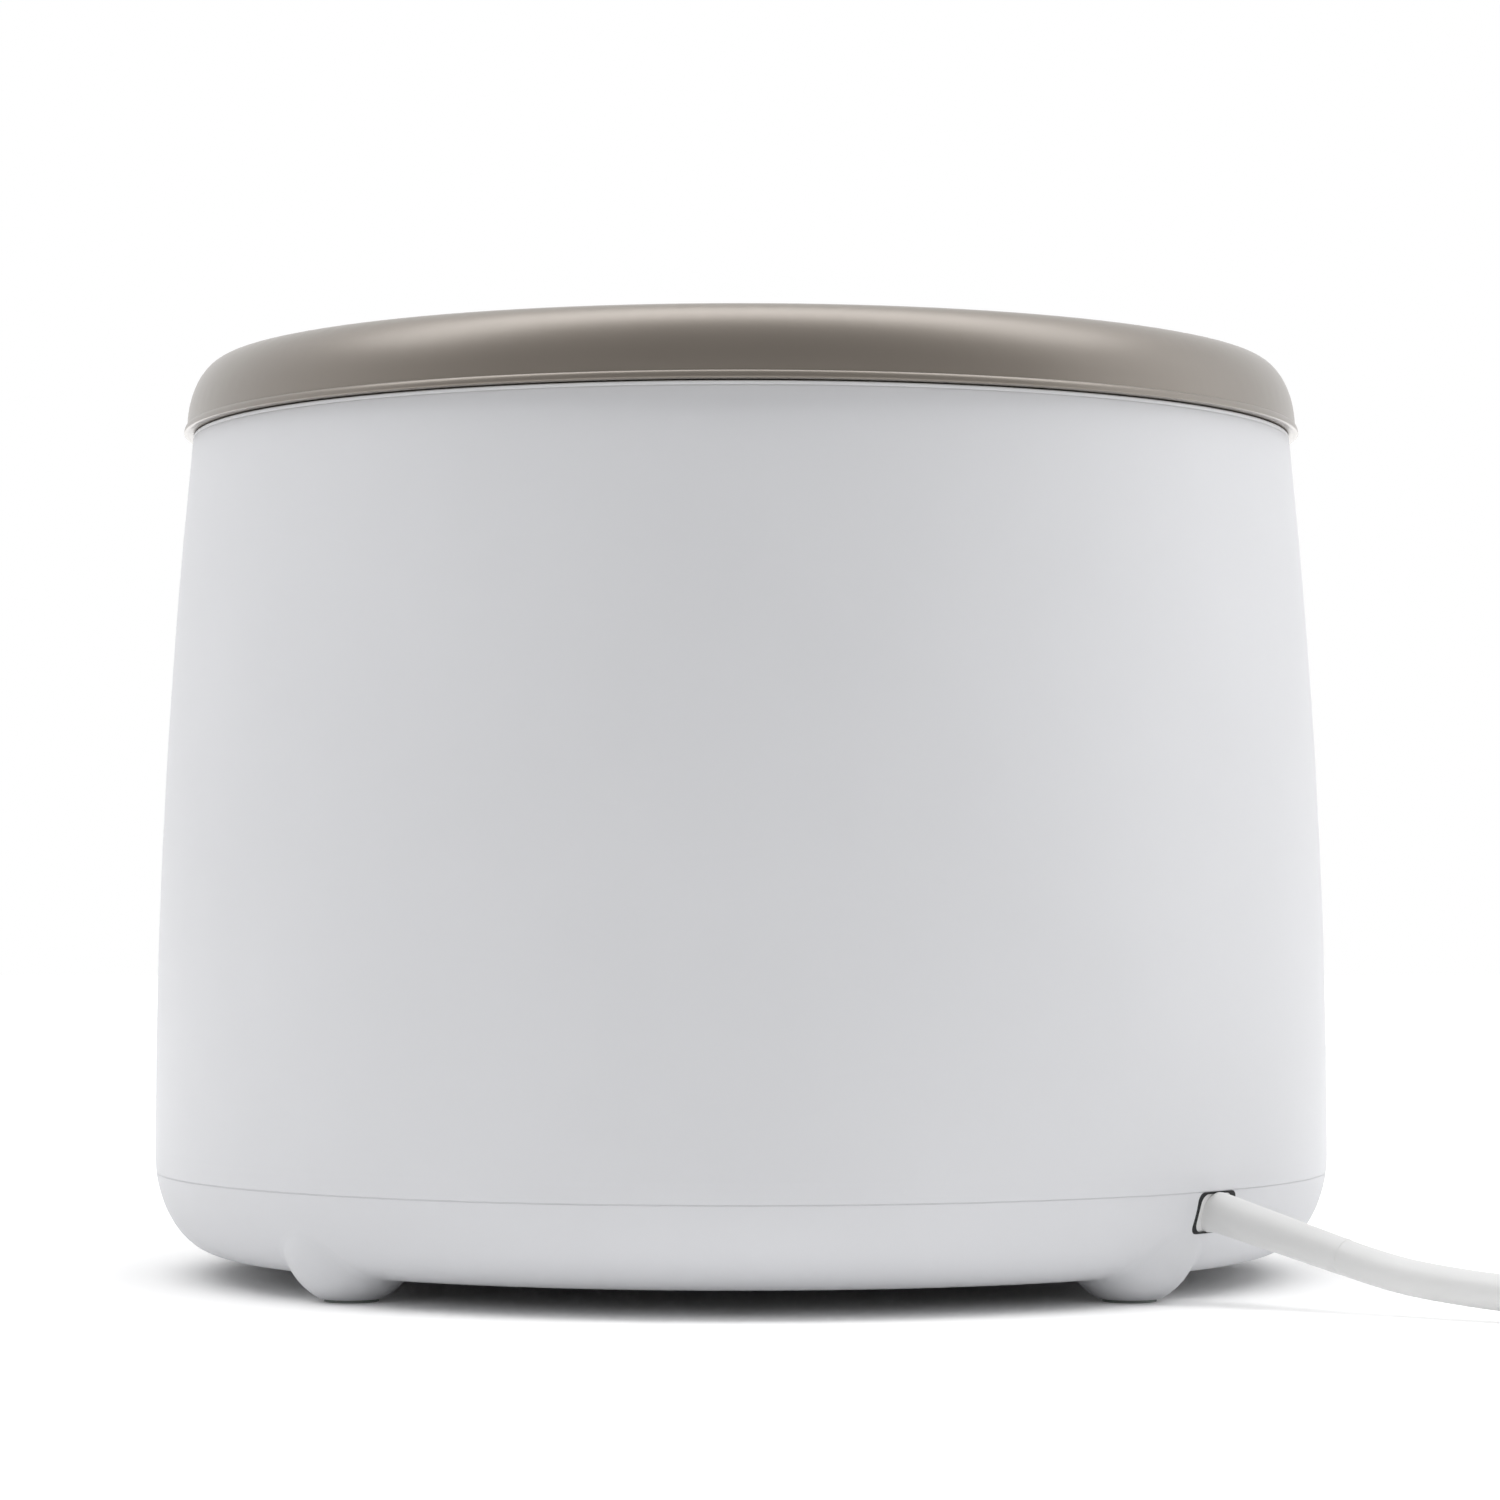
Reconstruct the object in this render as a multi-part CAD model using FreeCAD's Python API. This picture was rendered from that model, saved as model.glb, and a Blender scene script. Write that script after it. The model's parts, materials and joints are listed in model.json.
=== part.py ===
import FreeCAD, Part
import functools
import math
import os

# Round yogurt maker: tapering housing on a footed pan, lift-off lid, heated well and tub, mains cord.
# Millimetres, +Z up, origin on the floor under the middle, controls towards -Y, cord towards the rear left.

Vector = FreeCAD.Vector
UP = Vector(0, 0, 1)

# Housing
body_radius = 100.0
top_taper = 6.0
body_height = 142.1
waist_height = 21.0
shell_wall = 2.5
rim_round = 0.6

# Base pan
foot_height = 4.0
pan_corner_width = 11.3
seam_height = 17.6
seam_gap = 0.2
pan_wall = 2.4
tongue_height = 4.0
tongue_wall = 1.8
tongue_root = 5.0
tongue_gap = 0.3

# Feet
foot_inset = 13.0
foot_sphere_radius = 11.0
foot_sphere_height = 10.3
foot_blend = 3.0
foot_pad_radius = 4.3
foot_pad_thickness = 1.5
foot_pad_proud = 0.5
foot_pad_fit = 0.1
foot_names = {
    "foot_pad_rear_right": 45.0,
    "foot_pad_rear_left": 135.0,
    "foot_pad_front_left": 225.0,
    "foot_pad_front_right": 315.0,
}

# Screws that hold the pan
screw_count = 4
screw_shank_radius = 1.5
screw_shank_length = 13.0
screw_head_radius = 3.0
screw_head_height = 2.2
screw_fit = 0.05
head_clearance = 0.5
head_seat_wall = 4.0
pan_post_wall = 1.8
pan_post_inset = 0.6
boss_wall = 2.6
boss_rib_width = 3.0
boss_well_gap = 1.3

# Rim, from the housing wall inwards
ledge_drop = 4.1
ledge_thickness = 2.5
gasket_thickness = 1.0
gasket_width = 5.0
well_wall = 1.5
well_taper = 3.0
well_corner = 6.0
well_ledge_gap = 0.8
part_fit = 0.3
seat_fit = 0.2
skirt_wall_gap = 1.8
skirt_wall = 2.0
skirt_gap = 1.0

# Tub and its lid
tub_wall = 2.0
tub_rim_width = 5.0
tub_rim_thickness = 2.0
tub_well_gap = 1.2
tub_taper = 5.0
tub_corner = 8.0
tub_lid_wall = 1.6
tub_lid_grip_radius = 30.0
tub_lid_grip_depth = 7.0
tub_lid_grip_bar = 12.0
tub_seal_thickness = 1.0
tub_seal_width = 3.0

# Lid
lid_gap = 0.5
lid_overhang = 1.3
lid_lip_height = 1.1
lid_lip_step = 0.25
lid_wall = 2.5
lid_shoulder_width = 6.0
lid_shoulder_rise = 11.1
lid_dome_rise = 4.9

# Heater under the well
stud_radius = 1.5
stud_count = 3
stud_circle = 40.0
nut_radius = 3.2
nut_sides = 6
nut_height = 2.4
heater_radius = 58.0
heater_bore = 10.0
heater_thickness = 1.6
heater_plate_radius = 48.0
heater_plate_thickness = 1.0
heater_fit = 0.05
tab_width = 4.0
tab_thickness = 0.8
tab_length = 3.0
tab_spacing = 16.0
sensor_radius = 3.2
sensor_height = 3.6
clip_thickness = 0.8
clip_width = 7.0
clip_foot = 5.0
fuse_radius = 2.0
fuse_length = 12.0
fuse_place = -40.0
fuse_clip_width = 6.0
fuse_clip_ear = 4.0

# Power board in the pan
board_length = 64.0
board_width = 44.0
board_thickness = 1.6
board_post_height = 4.0
board_post_radius = 3.0
board_hole_inset = 4.0
board_x = 8.0
board_y = -4.0
header_size = Vector(8.0, 5.0, 5.0)
sensor_header_place = Vector(-11.0, -14.0, 0.0)
panel_header_place = Vector(0.0, -18.0, 0.0)
relay_size = Vector(15.0, 19.0, 10.0)
relay_place = Vector(18.0, 6.0, 0.0)
capacitor_size = Vector(18.0, 8.0, 9.0)
capacitor_place = Vector(15.0, -12.0, 0.0)
terminal_size = Vector(10.0, 24.0, 9.0)
terminal_place = Vector(-25.0, 2.0, 0.0)
board_to_heater_gap = 2.5
small_screw_radius = 1.1
small_screw_length = 5.0
small_head_radius = 2.0
small_head_height = 1.4

# Control panel in the front wall
panel_height = 76.0
panel_width = 66.0
panel_tall = 38.0
panel_corner = 8.0
panel_flange = 2.5
panel_proud = 0.3
panel_recess = 0.9
panel_gap = 0.25
panel_depth = 3.4
panel_hook_length = 24.0
panel_hook_reach = 0.8
window_width = 34.0
window_tall = 12.0
window_corner = 2.0
window_raise = 7.0
window_ledge = 1.5
window_depth = 1.3
window_proud = 0.1
display_width = 29.0
display_tall = 8.6
display_gap = 1.2
button_names = {"button_minus": -16.0, "button_power": 0.0, "button_plus": 16.0}
button_radius = 4.5
button_drop = 9.0
button_proud = 0.3
button_gap = 0.2
button_flange = 1.1
button_flange_thickness = 0.9
button_stub_radius = 2.0
button_travel = 0.5
button_free = 0.25
control_depth = 10.8
control_board_margin = 0.5
control_post_radius = 2.6
control_post_inset = 0.4
socket_size = Vector(10.0, 3.0, 5.0)
socket_place = 14.0
socket_raise = 1.5
tact_size = 6.0
tact_height = 2.5
tact_plunger_radius = 1.6
tact_plunger_height = 1.1

# Cord
cord_diameter = 5.6
cord_azimuth = 139.0
notch_fit = 0.15
notch_side_gap = 1.8
notch_corner = 1.5
grommet_gap = 0.4
grommet_recess = 0.2
relief_radius = 3.2
relief_end_radius = 2.85
relief_length = 24.0
relief_droop = 14.0
relief_flange_radius = 4.6
relief_flange_thickness = 2.0
cord_first_run = 8.0
cord_inner_length = 26.0
clamp_length = 26.0
clamp_width = 10.0
clamp_thickness = 5.0
clamp_offset = 12.0
clamp_post_spacing = 18.0
clamp_post_radius = 3.2
clamp_split = 0.2
wire_diameter = 1.8
wire_spacing = 2.2
cable_diameter = 2.6
mains_wire_start = 9.0
mains_wire_end = 10.0
heater_lead_start = 8.0
heater_lead_drop = 7.0
fuse_lead_end = 3.5
tab_lead_start = 4.0
tab_lead_bend = 5.0
tab_lead_aside = 0.5

# Coil of the length that is put away
coil_mean_radius = 33.2
coil_pitch = 6.6
coil_layer = 6.5
coil_turns = 5
coil_lift = 1.35
coil_end_heading = 270.0
coil_tail = 24.0
tie_angle = 120.0
tie_thickness = 0.9
tie_width = 7.0
tie_gap = 0.35
tie_side_gap = 1.0

# Plug
plug_width = 34.0
plug_thickness = 13.6
plug_length = 34.0
plug_neck_width = 13.0
plug_face_width = 26.0
plug_shoulder = 6.0
plug_side = 8.0
plug_round = 2.4
plug_boot_length = 16.0
plug_boot_radius = 4.8
plug_pin_radius = 2.0
plug_pin_length = 19.0
plug_pin_spacing = 18.6
plug_floor_gap = 0.05


# Values that follow from the sizes above
pan_top = seam_height - seam_gap / 2
housing_bottom = seam_height + seam_gap / 2
pan_floor_top = foot_height + pan_wall
pan_flat_radius = body_radius - pan_corner_width
wall_curve_radius = (top_taper ** 2 + (body_height - waist_height) ** 2) / (2 * top_taper)
outside = 3 * body_radius
foot_circle = body_radius - foot_inset


def wall_radius(height, offset=0.0):
    """Radius of the housing's outer wall at a height above the waist, moved outwards by offset."""
    rise = height - waist_height
    return body_radius - wall_curve_radius + math.sqrt((wall_curve_radius + offset) ** 2 - rise ** 2)


def corner_radius(height, offset=0.0):
    """Radius of the rounded lower corner at a height below the waist, moved outwards by offset."""
    drop = (waist_height - height) / (waist_height - foot_height + offset)
    return pan_flat_radius + (pan_corner_width + offset) * math.sqrt(1 - drop ** 2)


tongue_outer = corner_radius(housing_bottom, -shell_wall) - tongue_gap
tongue_inner = tongue_outer - tongue_wall
ledge_top = body_height - ledge_drop
ledge_bottom = ledge_top - ledge_thickness
flange_bottom = ledge_top + gasket_thickness
flange_top = flange_bottom + well_wall
rim_inner_top = wall_radius(body_height, -shell_wall)
skirt_outer = rim_inner_top - skirt_wall_gap
skirt_inner = skirt_outer - skirt_wall
tub_lid_outer = skirt_inner - skirt_gap
tub_rim_radius = tub_lid_outer - tub_lid_wall - part_fit
tub_top_radius = tub_rim_radius - tub_rim_width
well_inner = tub_top_radius + tub_well_gap
well_outer = well_inner + well_wall
ledge_inner = well_outer + well_ledge_gap

board_bottom = pan_floor_top + board_post_height
board_top = board_bottom + board_thickness
tallest_part = max(relay_size.z, capacitor_size.z, terminal_size.z)
nut_bottom = board_top + tallest_part + board_to_heater_gap
plate_bottom = nut_bottom + nut_height
heater_bottom = plate_bottom + heater_plate_thickness
well_floor_bottom = heater_bottom + heater_thickness
well_floor_top = well_floor_bottom + well_wall
tub_bottom = well_floor_top + part_fit
tub_rim_bottom = flange_top + part_fit
tub_rim_top = tub_rim_bottom + tub_rim_thickness
tub_seal_bottom = tub_rim_top + heater_fit
tub_lid_under = tub_seal_bottom + tub_seal_thickness + heater_fit
tub_lid_top = tub_lid_under + tub_lid_wall

screw_circle = pan_flat_radius - pan_post_inset - screw_head_radius - head_clearance - pan_post_wall
boss_top = well_floor_bottom - boss_well_gap
post_top = housing_bottom - seam_gap
head_seat = post_top - head_seat_wall

lid_bottom = body_height + lid_gap
lid_rim_radius = wall_radius(body_height) + lid_overhang
lid_side_radius = lid_rim_radius - lid_lip_step
lid_side_bottom = lid_bottom + lid_lip_height

panel_wall = wall_radius(panel_height)
board_front = control_depth - panel_wall
button_height = panel_height - button_drop
button_back = board_front - tact_height - tact_plunger_height - button_travel - button_free
opening_width = panel_width - 2 * panel_flange
opening_tall = panel_tall - 2 * panel_flange
opening_corner = panel_corner - panel_flange
control_board_width = opening_width - 2 * control_board_margin
control_board_tall = opening_tall - 2 * control_board_margin

exit_direction = Vector(math.cos(math.radians(cord_azimuth)), math.sin(math.radians(cord_azimuth)), 0)
exit_left = Vector(-exit_direction.y, exit_direction.x, 0)
cord_radius = cord_diameter / 2
notch_height = 2 * (relief_radius + notch_fit)
notch_width = 2 * (relief_radius + notch_side_gap)
cord_exit_height = seam_height - notch_height / 2


def polar(radius, azimuth, height=0.0):
    angle = math.radians(azimuth)
    return Vector(radius * math.cos(angle), radius * math.sin(angle), height)


def along_exit(distance, sideways, height):
    """A point by its distance from the middle along the cord's exit, its place to the left and its height."""
    return exit_direction * distance + exit_left * sideways + UP * height


def disc(radius, low, high, place=Vector(0, 0, 0)):
    return Part.makeCylinder(radius, high - low, Vector(place.x, place.y, low))


def ring(outer, inner, low, high, place=Vector(0, 0, 0)):
    return disc(outer, low, high, place).cut(disc(inner, low, high, place))


def block(size_x, size_y, low, high, place=Vector(0, 0, 0)):
    corner = Vector(place.x - size_x / 2, place.y - size_y / 2, low)
    return Part.makeBox(size_x, size_y, high - low, corner)


def outlined(edges):
    return Part.Face(Part.Wire(edges))


def spun(face):
    """Solid turned about the Z axis from a face in the XZ plane."""
    return face.revolve(Vector(0, 0, 0), UP, 360)


def line(start, end):
    return Part.makeLine(Vector(start[0], 0, start[1]), Vector(end[0], 0, end[1]))


def quarter_ellipse(start, corner, end):
    """Quarter of an ellipse from start to end that is tangent to both lines through the corner."""
    bend = 0.5523
    points = [
        start,
        (start[0] + (corner[0] - start[0]) * bend, start[1] + (corner[1] - start[1]) * bend),
        (end[0] + (corner[0] - end[0]) * bend, end[1] + (corner[1] - end[1]) * bend),
        end,
    ]
    curve = Part.BezierCurve()
    curve.setPoles([Vector(radius, 0, height) for radius, height in points])
    return curve.toShape()


def arc(start, middle, end):
    points = [Vector(radius, 0, height) for radius, height in (start, middle, end)]
    return Part.Arc(*points).toShape()


def polyline(points):
    closed = points + points[:1]
    return [line(a, b) for a, b in zip(closed, closed[1:])]


def body_face(offset, top):
    """Half section inside the outer surface of pan and housing moved outwards by offset, up to top."""
    bottom = foot_height - offset
    waist = (body_radius + offset, waist_height)
    middle_height = (waist_height + top) / 2
    middle = (wall_radius(middle_height, offset), middle_height)
    rim = (wall_radius(top, offset), top)
    return outlined([
        line((0, bottom), (pan_flat_radius, bottom)),
        quarter_ellipse((pan_flat_radius, bottom), (waist[0], bottom), waist),
        arc(waist, middle, rim),
        line(rim, (0, top)),
        line((0, top), (0, bottom)),
    ])


def body_form(offset):
    return spun(body_face(offset, body_height))


@functools.lru_cache(maxsize=None)
def wall_form(offset):
    """Solid inside the housing's wall moved outwards by offset, from the waist up to the top edge."""
    middle_height = (waist_height + body_height) / 2
    waist = (body_radius + offset, waist_height)
    rim = (wall_radius(body_height, offset), body_height)
    return spun(outlined([
        line((0, waist_height), waist),
        arc(waist, (wall_radius(middle_height, offset), middle_height), rim),
        line(rim, (0, body_height)),
        line((0, body_height), (0, waist_height)),
    ]))


def body_shell(thickness, low):
    """Wall of a thickness inside the outer surface, from a height up to the top edge."""
    section = body_face(0, body_height).cut(body_face(-thickness, body_height))
    above = outlined(polyline([(0, low), (outside, low), (outside, body_height), (0, body_height)]))
    return spun(section.common(above).Faces[0])


def front_prism(width, tall, corner, middle_height, sideways=0.0):
    """Bar with a rounded section that runs forwards from the middle of the object along -Y."""
    face = rounded_face(width, tall, corner)
    face.rotate(Vector(0, 0, 0), Vector(1, 0, 0), 90)
    face.translate(Vector(sideways, 0, middle_height))
    return face.extrude(Vector(0, -outside, 0))


def front_rod(radius, sideways, height, start, end):
    """Round bar along Y between two places."""
    return Part.makeCylinder(radius, end - start, Vector(sideways, start, height), Vector(0, 1, 0))


def rounded_face(width, tall, corner):
    """Rectangle with rounded corners, about the origin of the XY plane."""
    right = width / 2
    top = tall / 2
    spread = corner * (1 - math.sqrt(0.5))
    edges = []
    for turn in range(4):
        half_x, half_y = (right, top) if turn % 2 == 0 else (top, right)
        pieces = [
            Part.makeLine(Vector(half_x, corner - half_y, 0), Vector(half_x, half_y - corner, 0)),
            Part.Arc(
                Vector(half_x, half_y - corner, 0),
                Vector(half_x - spread, half_y - spread, 0),
                Vector(half_x - corner, half_y, 0),
            ).toShape(),
        ]
        for piece in pieces:
            piece.rotate(Vector(0, 0, 0), UP, 90 * turn)
            edges.append(piece)
    return Part.Face(Part.Wire(edges))


def joined(pieces):
    return pieces[0].fuse(pieces[1:]).removeSplitter()


def spread_azimuths(count, first=0.0):
    return [first + 360.0 * index / count for index in range(count)]


def save(name, shape):
    shape.exportStep("parts/" + name + ".step")


def save_group(name, shapes):
    save(name, Part.makeCompound(shapes))


def make_screw(place, seat, shank_radius, shank_length, head_radius, head_height):
    """Screw driven upwards: its head hangs below the seat, with a cross recess in it."""
    shank = disc(shank_radius, seat, seat + shank_length, place)
    head = disc(head_radius, seat - head_height, seat, place)
    recess_low = seat - head_height
    recess_high = seat - head_height / 2
    slot_width = head_radius / 3
    slot_length = 4 * slot_width
    recess = block(slot_length, slot_width, recess_low, recess_high, place).fuse(
        block(slot_width, slot_length, recess_low, recess_high, place))
    return head.cut(recess).fuse(shank).removeSplitter()


# Cord paths

def tube_path(points):
    """Straight runs joined by the largest tangent arcs, and the arcs' radii."""
    edges = []
    radii = []
    start = points[0]
    for before, corner, after in zip(points, points[1:], points[2:]):
        run_in = corner - before
        run_out = after - corner
        turn = run_in.getAngle(run_out)
        cut = 0.45 * min(run_in.Length, run_out.Length)
        radius = cut / math.tan(turn / 2)
        way_in = Vector(run_in).normalize()
        way_out = Vector(run_out).normalize()
        arc_start = corner - way_in * cut
        arc_end = corner + way_out * cut
        inward = (way_out - way_in).normalize()
        arc_middle = corner + inward * (radius / math.cos(turn / 2) - radius)
        edges.append(Part.makeLine(start, arc_start))
        edges.append(Part.Arc(arc_start, arc_middle, arc_end).toShape())
        radii.append(radius)
        start = arc_end
    edges.append(Part.makeLine(start, points[-1]))
    return edges, radii


def swept(edges, diameter, direction):
    """Round tube along a smooth path that starts in the given direction."""
    path = Part.Wire(edges)
    start = edges[0].Vertexes[0].Point
    section = Part.Wire(Part.makeCircle(diameter / 2, start, direction))
    solid = path.makePipeShell([section], True, False)
    expected = path.Length * math.pi * diameter ** 2 / 4
    return solid, path.Length, solid.Volume / expected


def make_tube(name, points, diameter):
    edges, radii = tube_path(points)
    solid, length, share = swept(edges, diameter, points[1] - points[0])
    listed = ", ".join("%.0f" % radius for radius in radii)
    print("%s: %.1f mm long, volume share %.4f, radii %s" % (name, length, share, listed))
    return solid


def biarc(start, start_way, end, end_way):
    """Two tangent arcs from start to end that keep both directions."""
    span = end - start
    ways = start_way + end_way
    square = 2 * (1 - start_way.dot(end_way))
    linear = 2 * span.dot(ways)
    if square < 1e-9:
        reach = span.dot(span) / linear
    else:
        reach = (math.sqrt(linear ** 2 + 4 * square * span.dot(span)) - linear) / (2 * square)
    first_corner = start + start_way * reach
    second_corner = end - end_way * reach
    joint = (first_corner + second_corner) / 2
    return [
        corner_arc(start, first_corner, joint),
        corner_arc(joint, second_corner, end),
    ]


def corner_arc(start, corner, end):
    """Arc from start to end that is tangent to both lines through the corner."""
    chord_middle = (start + end) / 2
    to_corner = corner - chord_middle
    half_chord = (end - start).Length / 2
    half_turn = math.atan2(to_corner.Length, half_chord)
    rise = half_chord * math.tan(half_turn / 2)
    return Part.Arc(start, chord_middle + to_corner.normalize() * rise, end).toShape()


# Housing

def housing_boss(azimuth):
    """Screw boss that hangs from the housing's wall on a rib."""
    place = polar(screw_circle, azimuth)
    boss = disc(screw_shank_radius + boss_wall, housing_bottom, boss_top, place)
    rib_low = pan_top + tongue_height + 2 * part_fit
    rib_reach = body_radius - shell_wall / 2 - screw_circle
    rib = block(rib_reach, boss_rib_width, rib_low, boss_top, Vector(screw_circle + rib_reach / 2, 0, 0))
    rib.rotate(Vector(0, 0, 0), UP, azimuth)
    bore = disc(screw_shank_radius + screw_fit, housing_bottom, boss_top, place)
    return boss.fuse(rib.common(body_form(-shell_wall / 2))).cut(bore)


def panel_cut():
    """Opening for the panel, with the shallow recess for its flange."""
    opening = front_prism(opening_width + 2 * panel_gap, opening_tall + 2 * panel_gap,
                          opening_corner + panel_gap, panel_height)
    recess = front_prism(panel_width + 2 * panel_gap, panel_tall + 2 * panel_gap,
                         panel_corner + panel_gap, panel_height)
    return [opening, recess.cut(wall_form(-panel_recess))]


def exit_bar(width, tall):
    """Rounded bar that runs outwards along the cord's exit from the inner face of the relief's flange."""
    face = rounded_face(width, tall, notch_corner)
    face.rotate(Vector(0, 0, 0), Vector(1, 0, 0), 90)
    face.rotate(Vector(0, 0, 0), UP, cord_azimuth + 90)
    face.translate(along_exit(relief_flange_inner(), 0, cord_exit_height))
    return face.extrude(exit_direction * body_radius)


def cord_notch():
    """Cut through the pan's upper edge where the cord comes out, its top in the seam."""
    return exit_bar(notch_width, notch_height)


def make_housing():
    shell = body_shell(shell_wall, housing_bottom)
    rim_edges = [edge for edge in shell.Edges
                 if edge.Closed and abs(edge.BoundBox.ZMin - body_height) < 0.01
                 and abs(edge.BoundBox.ZMax - body_height) < 0.01]
    shell = shell.makeFillet(min(rim_round, 0.4 * shell_wall), rim_edges)
    ledge_outer = wall_radius(ledge_top, -shell_wall / 2)
    ledge = ring(ledge_outer, ledge_inner, ledge_bottom, ledge_top)
    bosses = [housing_boss(azimuth) for azimuth in spread_azimuths(screw_count)]
    housing = joined([shell, ledge] + bosses)
    return housing.cut(panel_cut())


# Base pan

def foot_place(azimuth):
    return polar(foot_circle, azimuth)


def near_a_foot(edge):
    middle = edge.CenterOfMass
    reach = foot_sphere_radius * 0.95
    return any((middle - foot_place(azimuth)).Length < reach for azimuth in foot_names.values())


def make_pan_outside():
    """Closed outer form of the pan with its four domed feet blended into it."""
    form = body_form(0).common(disc(outside, 0, pan_top))
    for azimuth in foot_names.values():
        sphere = Part.makeSphere(foot_sphere_radius, foot_place(azimuth) + UP * foot_sphere_height)
        form = form.fuse(sphere.common(disc(outside, foot_pad_proud, pan_top)))
    form = form.removeSplitter()
    blend_edges = []
    for edge in form.Edges:
        flat_low = edge.BoundBox.ZMax < foot_pad_proud + 0.1
        if near_a_foot(edge) and not flat_low and edge.BoundBox.ZMax < pan_top - 0.1:
            blend_edges.append(edge)
    return form, blend_edges


def make_tongue():
    """Ring that stands up inside the housing's lower edge, on a root against the pan's wall."""
    root_low = pan_top - tongue_root
    root_outer = corner_radius(root_low) - pan_wall / 4
    tongue_top = pan_top + tongue_height
    return spun(outlined(polyline([
        (tongue_inner, root_low),
        (root_outer, root_low),
        (root_outer, pan_top),
        (tongue_outer, pan_top),
        (tongue_outer, tongue_top),
        (tongue_inner, tongue_top),
    ])))


def pan_post(azimuth):
    place = polar(screw_circle, azimuth)
    return disc(screw_head_radius + head_clearance + pan_post_wall, foot_height, post_top, place)


def pan_screw_hole(azimuth):
    place = polar(screw_circle, azimuth)
    head_hole = disc(screw_head_radius + head_clearance, 0, head_seat, place)
    return head_hole.fuse(disc(screw_shank_radius + head_clearance, 0, post_top, place))


def board_hole_places():
    reach_x = board_length / 2 - board_hole_inset
    reach_y = board_width / 2 - board_hole_inset
    return [Vector(board_x + sx * reach_x, board_y + sy * reach_y, 0) for sx in (-1, 1) for sy in (-1, 1)]


def clamp_places():
    distance = relief_flange_inner() - clamp_offset
    return [along_exit(distance, side * clamp_post_spacing / 2, 0) for side in (-1, 1)]


def relief_flange_inner():
    """Distance from the middle at which the strain relief's flange ends inside the pan."""
    corner_inside = corner_radius(cord_exit_height - relief_flange_radius, -pan_wall)
    clear_radius = min(tongue_inner, corner_inside) - part_fit
    return math.sqrt(clear_radius ** 2 - relief_flange_radius ** 2) - relief_flange_thickness


def clamp_block(low, high, width):
    middle = along_exit(relief_flange_inner() - clamp_offset, 0, 0)
    shape = block(clamp_width, width, low, high)
    shape.rotate(Vector(0, 0, 0), UP, cord_azimuth)
    shape.translate(Vector(middle.x, middle.y, 0))
    return shape


def inner_cord(diameter):
    start = along_exit(relief_flange_inner() - cord_inner_length, 0, cord_exit_height)
    return Part.makeCylinder(diameter / 2, cord_inner_length, start, exit_direction)


def make_base_pan():
    outside_form, blend_edges = make_pan_outside()
    outside_form = outside_form.makeFillet(foot_blend, blend_edges)
    shell = outside_form.cut(body_form(-pan_wall))
    posts = [pan_post(azimuth) for azimuth in spread_azimuths(screw_count)]
    board_posts = [disc(board_post_radius, foot_height + pan_wall / 2, board_bottom, place)
                   for place in board_hole_places()]
    split = cord_exit_height - clamp_split
    clamp_posts = [disc(clamp_post_radius, foot_height + pan_wall / 2, split, place)
                   for place in clamp_places()]
    cradle = clamp_block(foot_height + pan_wall / 2, split, clamp_post_spacing)
    pan = joined([shell, make_tongue(), cradle] + posts + board_posts + clamp_posts)
    small_bore = small_screw_radius + screw_fit
    holes = [pan_screw_hole(azimuth) for azimuth in spread_azimuths(screw_count)]
    holes += [disc(small_bore, pan_floor_top, board_bottom, place) for place in board_hole_places()]
    holes += [disc(small_bore, pan_floor_top, split, place) for place in clamp_places()]
    holes += [disc(foot_pad_radius + foot_pad_fit, 0, foot_pad_thickness, foot_place(azimuth))
              for azimuth in foot_names.values()]
    holes += [cord_notch(), inner_cord(cord_diameter + 2 * screw_fit)]
    return pan.cut(holes)


def make_foot_pad(azimuth):
    return disc(foot_pad_radius, 0, foot_pad_thickness, foot_place(azimuth))


def make_base_screws():
    return [make_screw(polar(screw_circle, azimuth), head_seat, screw_shank_radius, screw_shank_length,
                       screw_head_radius, screw_head_height) for azimuth in spread_azimuths(screw_count)]


# Well, heater and sensors

def cup(top_radius, bottom_radius, wall, floor_bottom, top, corner):
    """Thin tapering cup with a rounded bottom corner, up to its mouth at the height top."""
    def outline(inset):
        low = floor_bottom + inset
        bend = corner - inset
        foot_radius = bottom_radius - inset
        return spun(outlined([
            line((0, low), (foot_radius - bend, low)),
            quarter_ellipse((foot_radius - bend, low), (foot_radius, low), (foot_radius, low + bend)),
            line((foot_radius, low + bend), (top_radius - inset, top)),
            line((top_radius - inset, top), (0, top)),
            line((0, top), (0, low)),
        ]))
    return outline(0).cut(outline(wall))


def stud_places():
    return [polar(stud_circle, azimuth) for azimuth in spread_azimuths(stud_count, 90.0)]


def make_inner_well():
    bowl = cup(well_outer, well_outer - well_taper, well_wall, well_floor_bottom, flange_top, well_corner)
    flange = ring(wall_radius(flange_top, -shell_wall) - part_fit, well_inner + well_wall / 2,
                  flange_bottom, flange_top)
    studs = [disc(stud_radius, nut_bottom, well_floor_bottom + well_wall / 2, place)
             for place in stud_places()]
    return joined([bowl, flange] + studs)


def make_well_gasket():
    outer = wall_radius(flange_bottom, -shell_wall) - part_fit
    return ring(outer, outer - gasket_width, ledge_top, flange_bottom)


def tab_places():
    reach = (heater_radius + heater_plate_radius) / 2
    return [Vector(-reach, side * tab_spacing / 2, 0) for side in (-1, 1)]


def make_heating_element():
    plate = ring(heater_radius, heater_bore, heater_bottom, well_floor_bottom - heater_fit)
    tabs = [block(tab_thickness, tab_width, heater_bottom - tab_length, heater_bottom + heater_fit, place)
            for place in tab_places()]
    element = joined([plate] + tabs)
    for place in stud_places():
        element = element.cut(disc(stud_radius + screw_fit, nut_bottom, well_floor_top, place))
    return element


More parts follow.
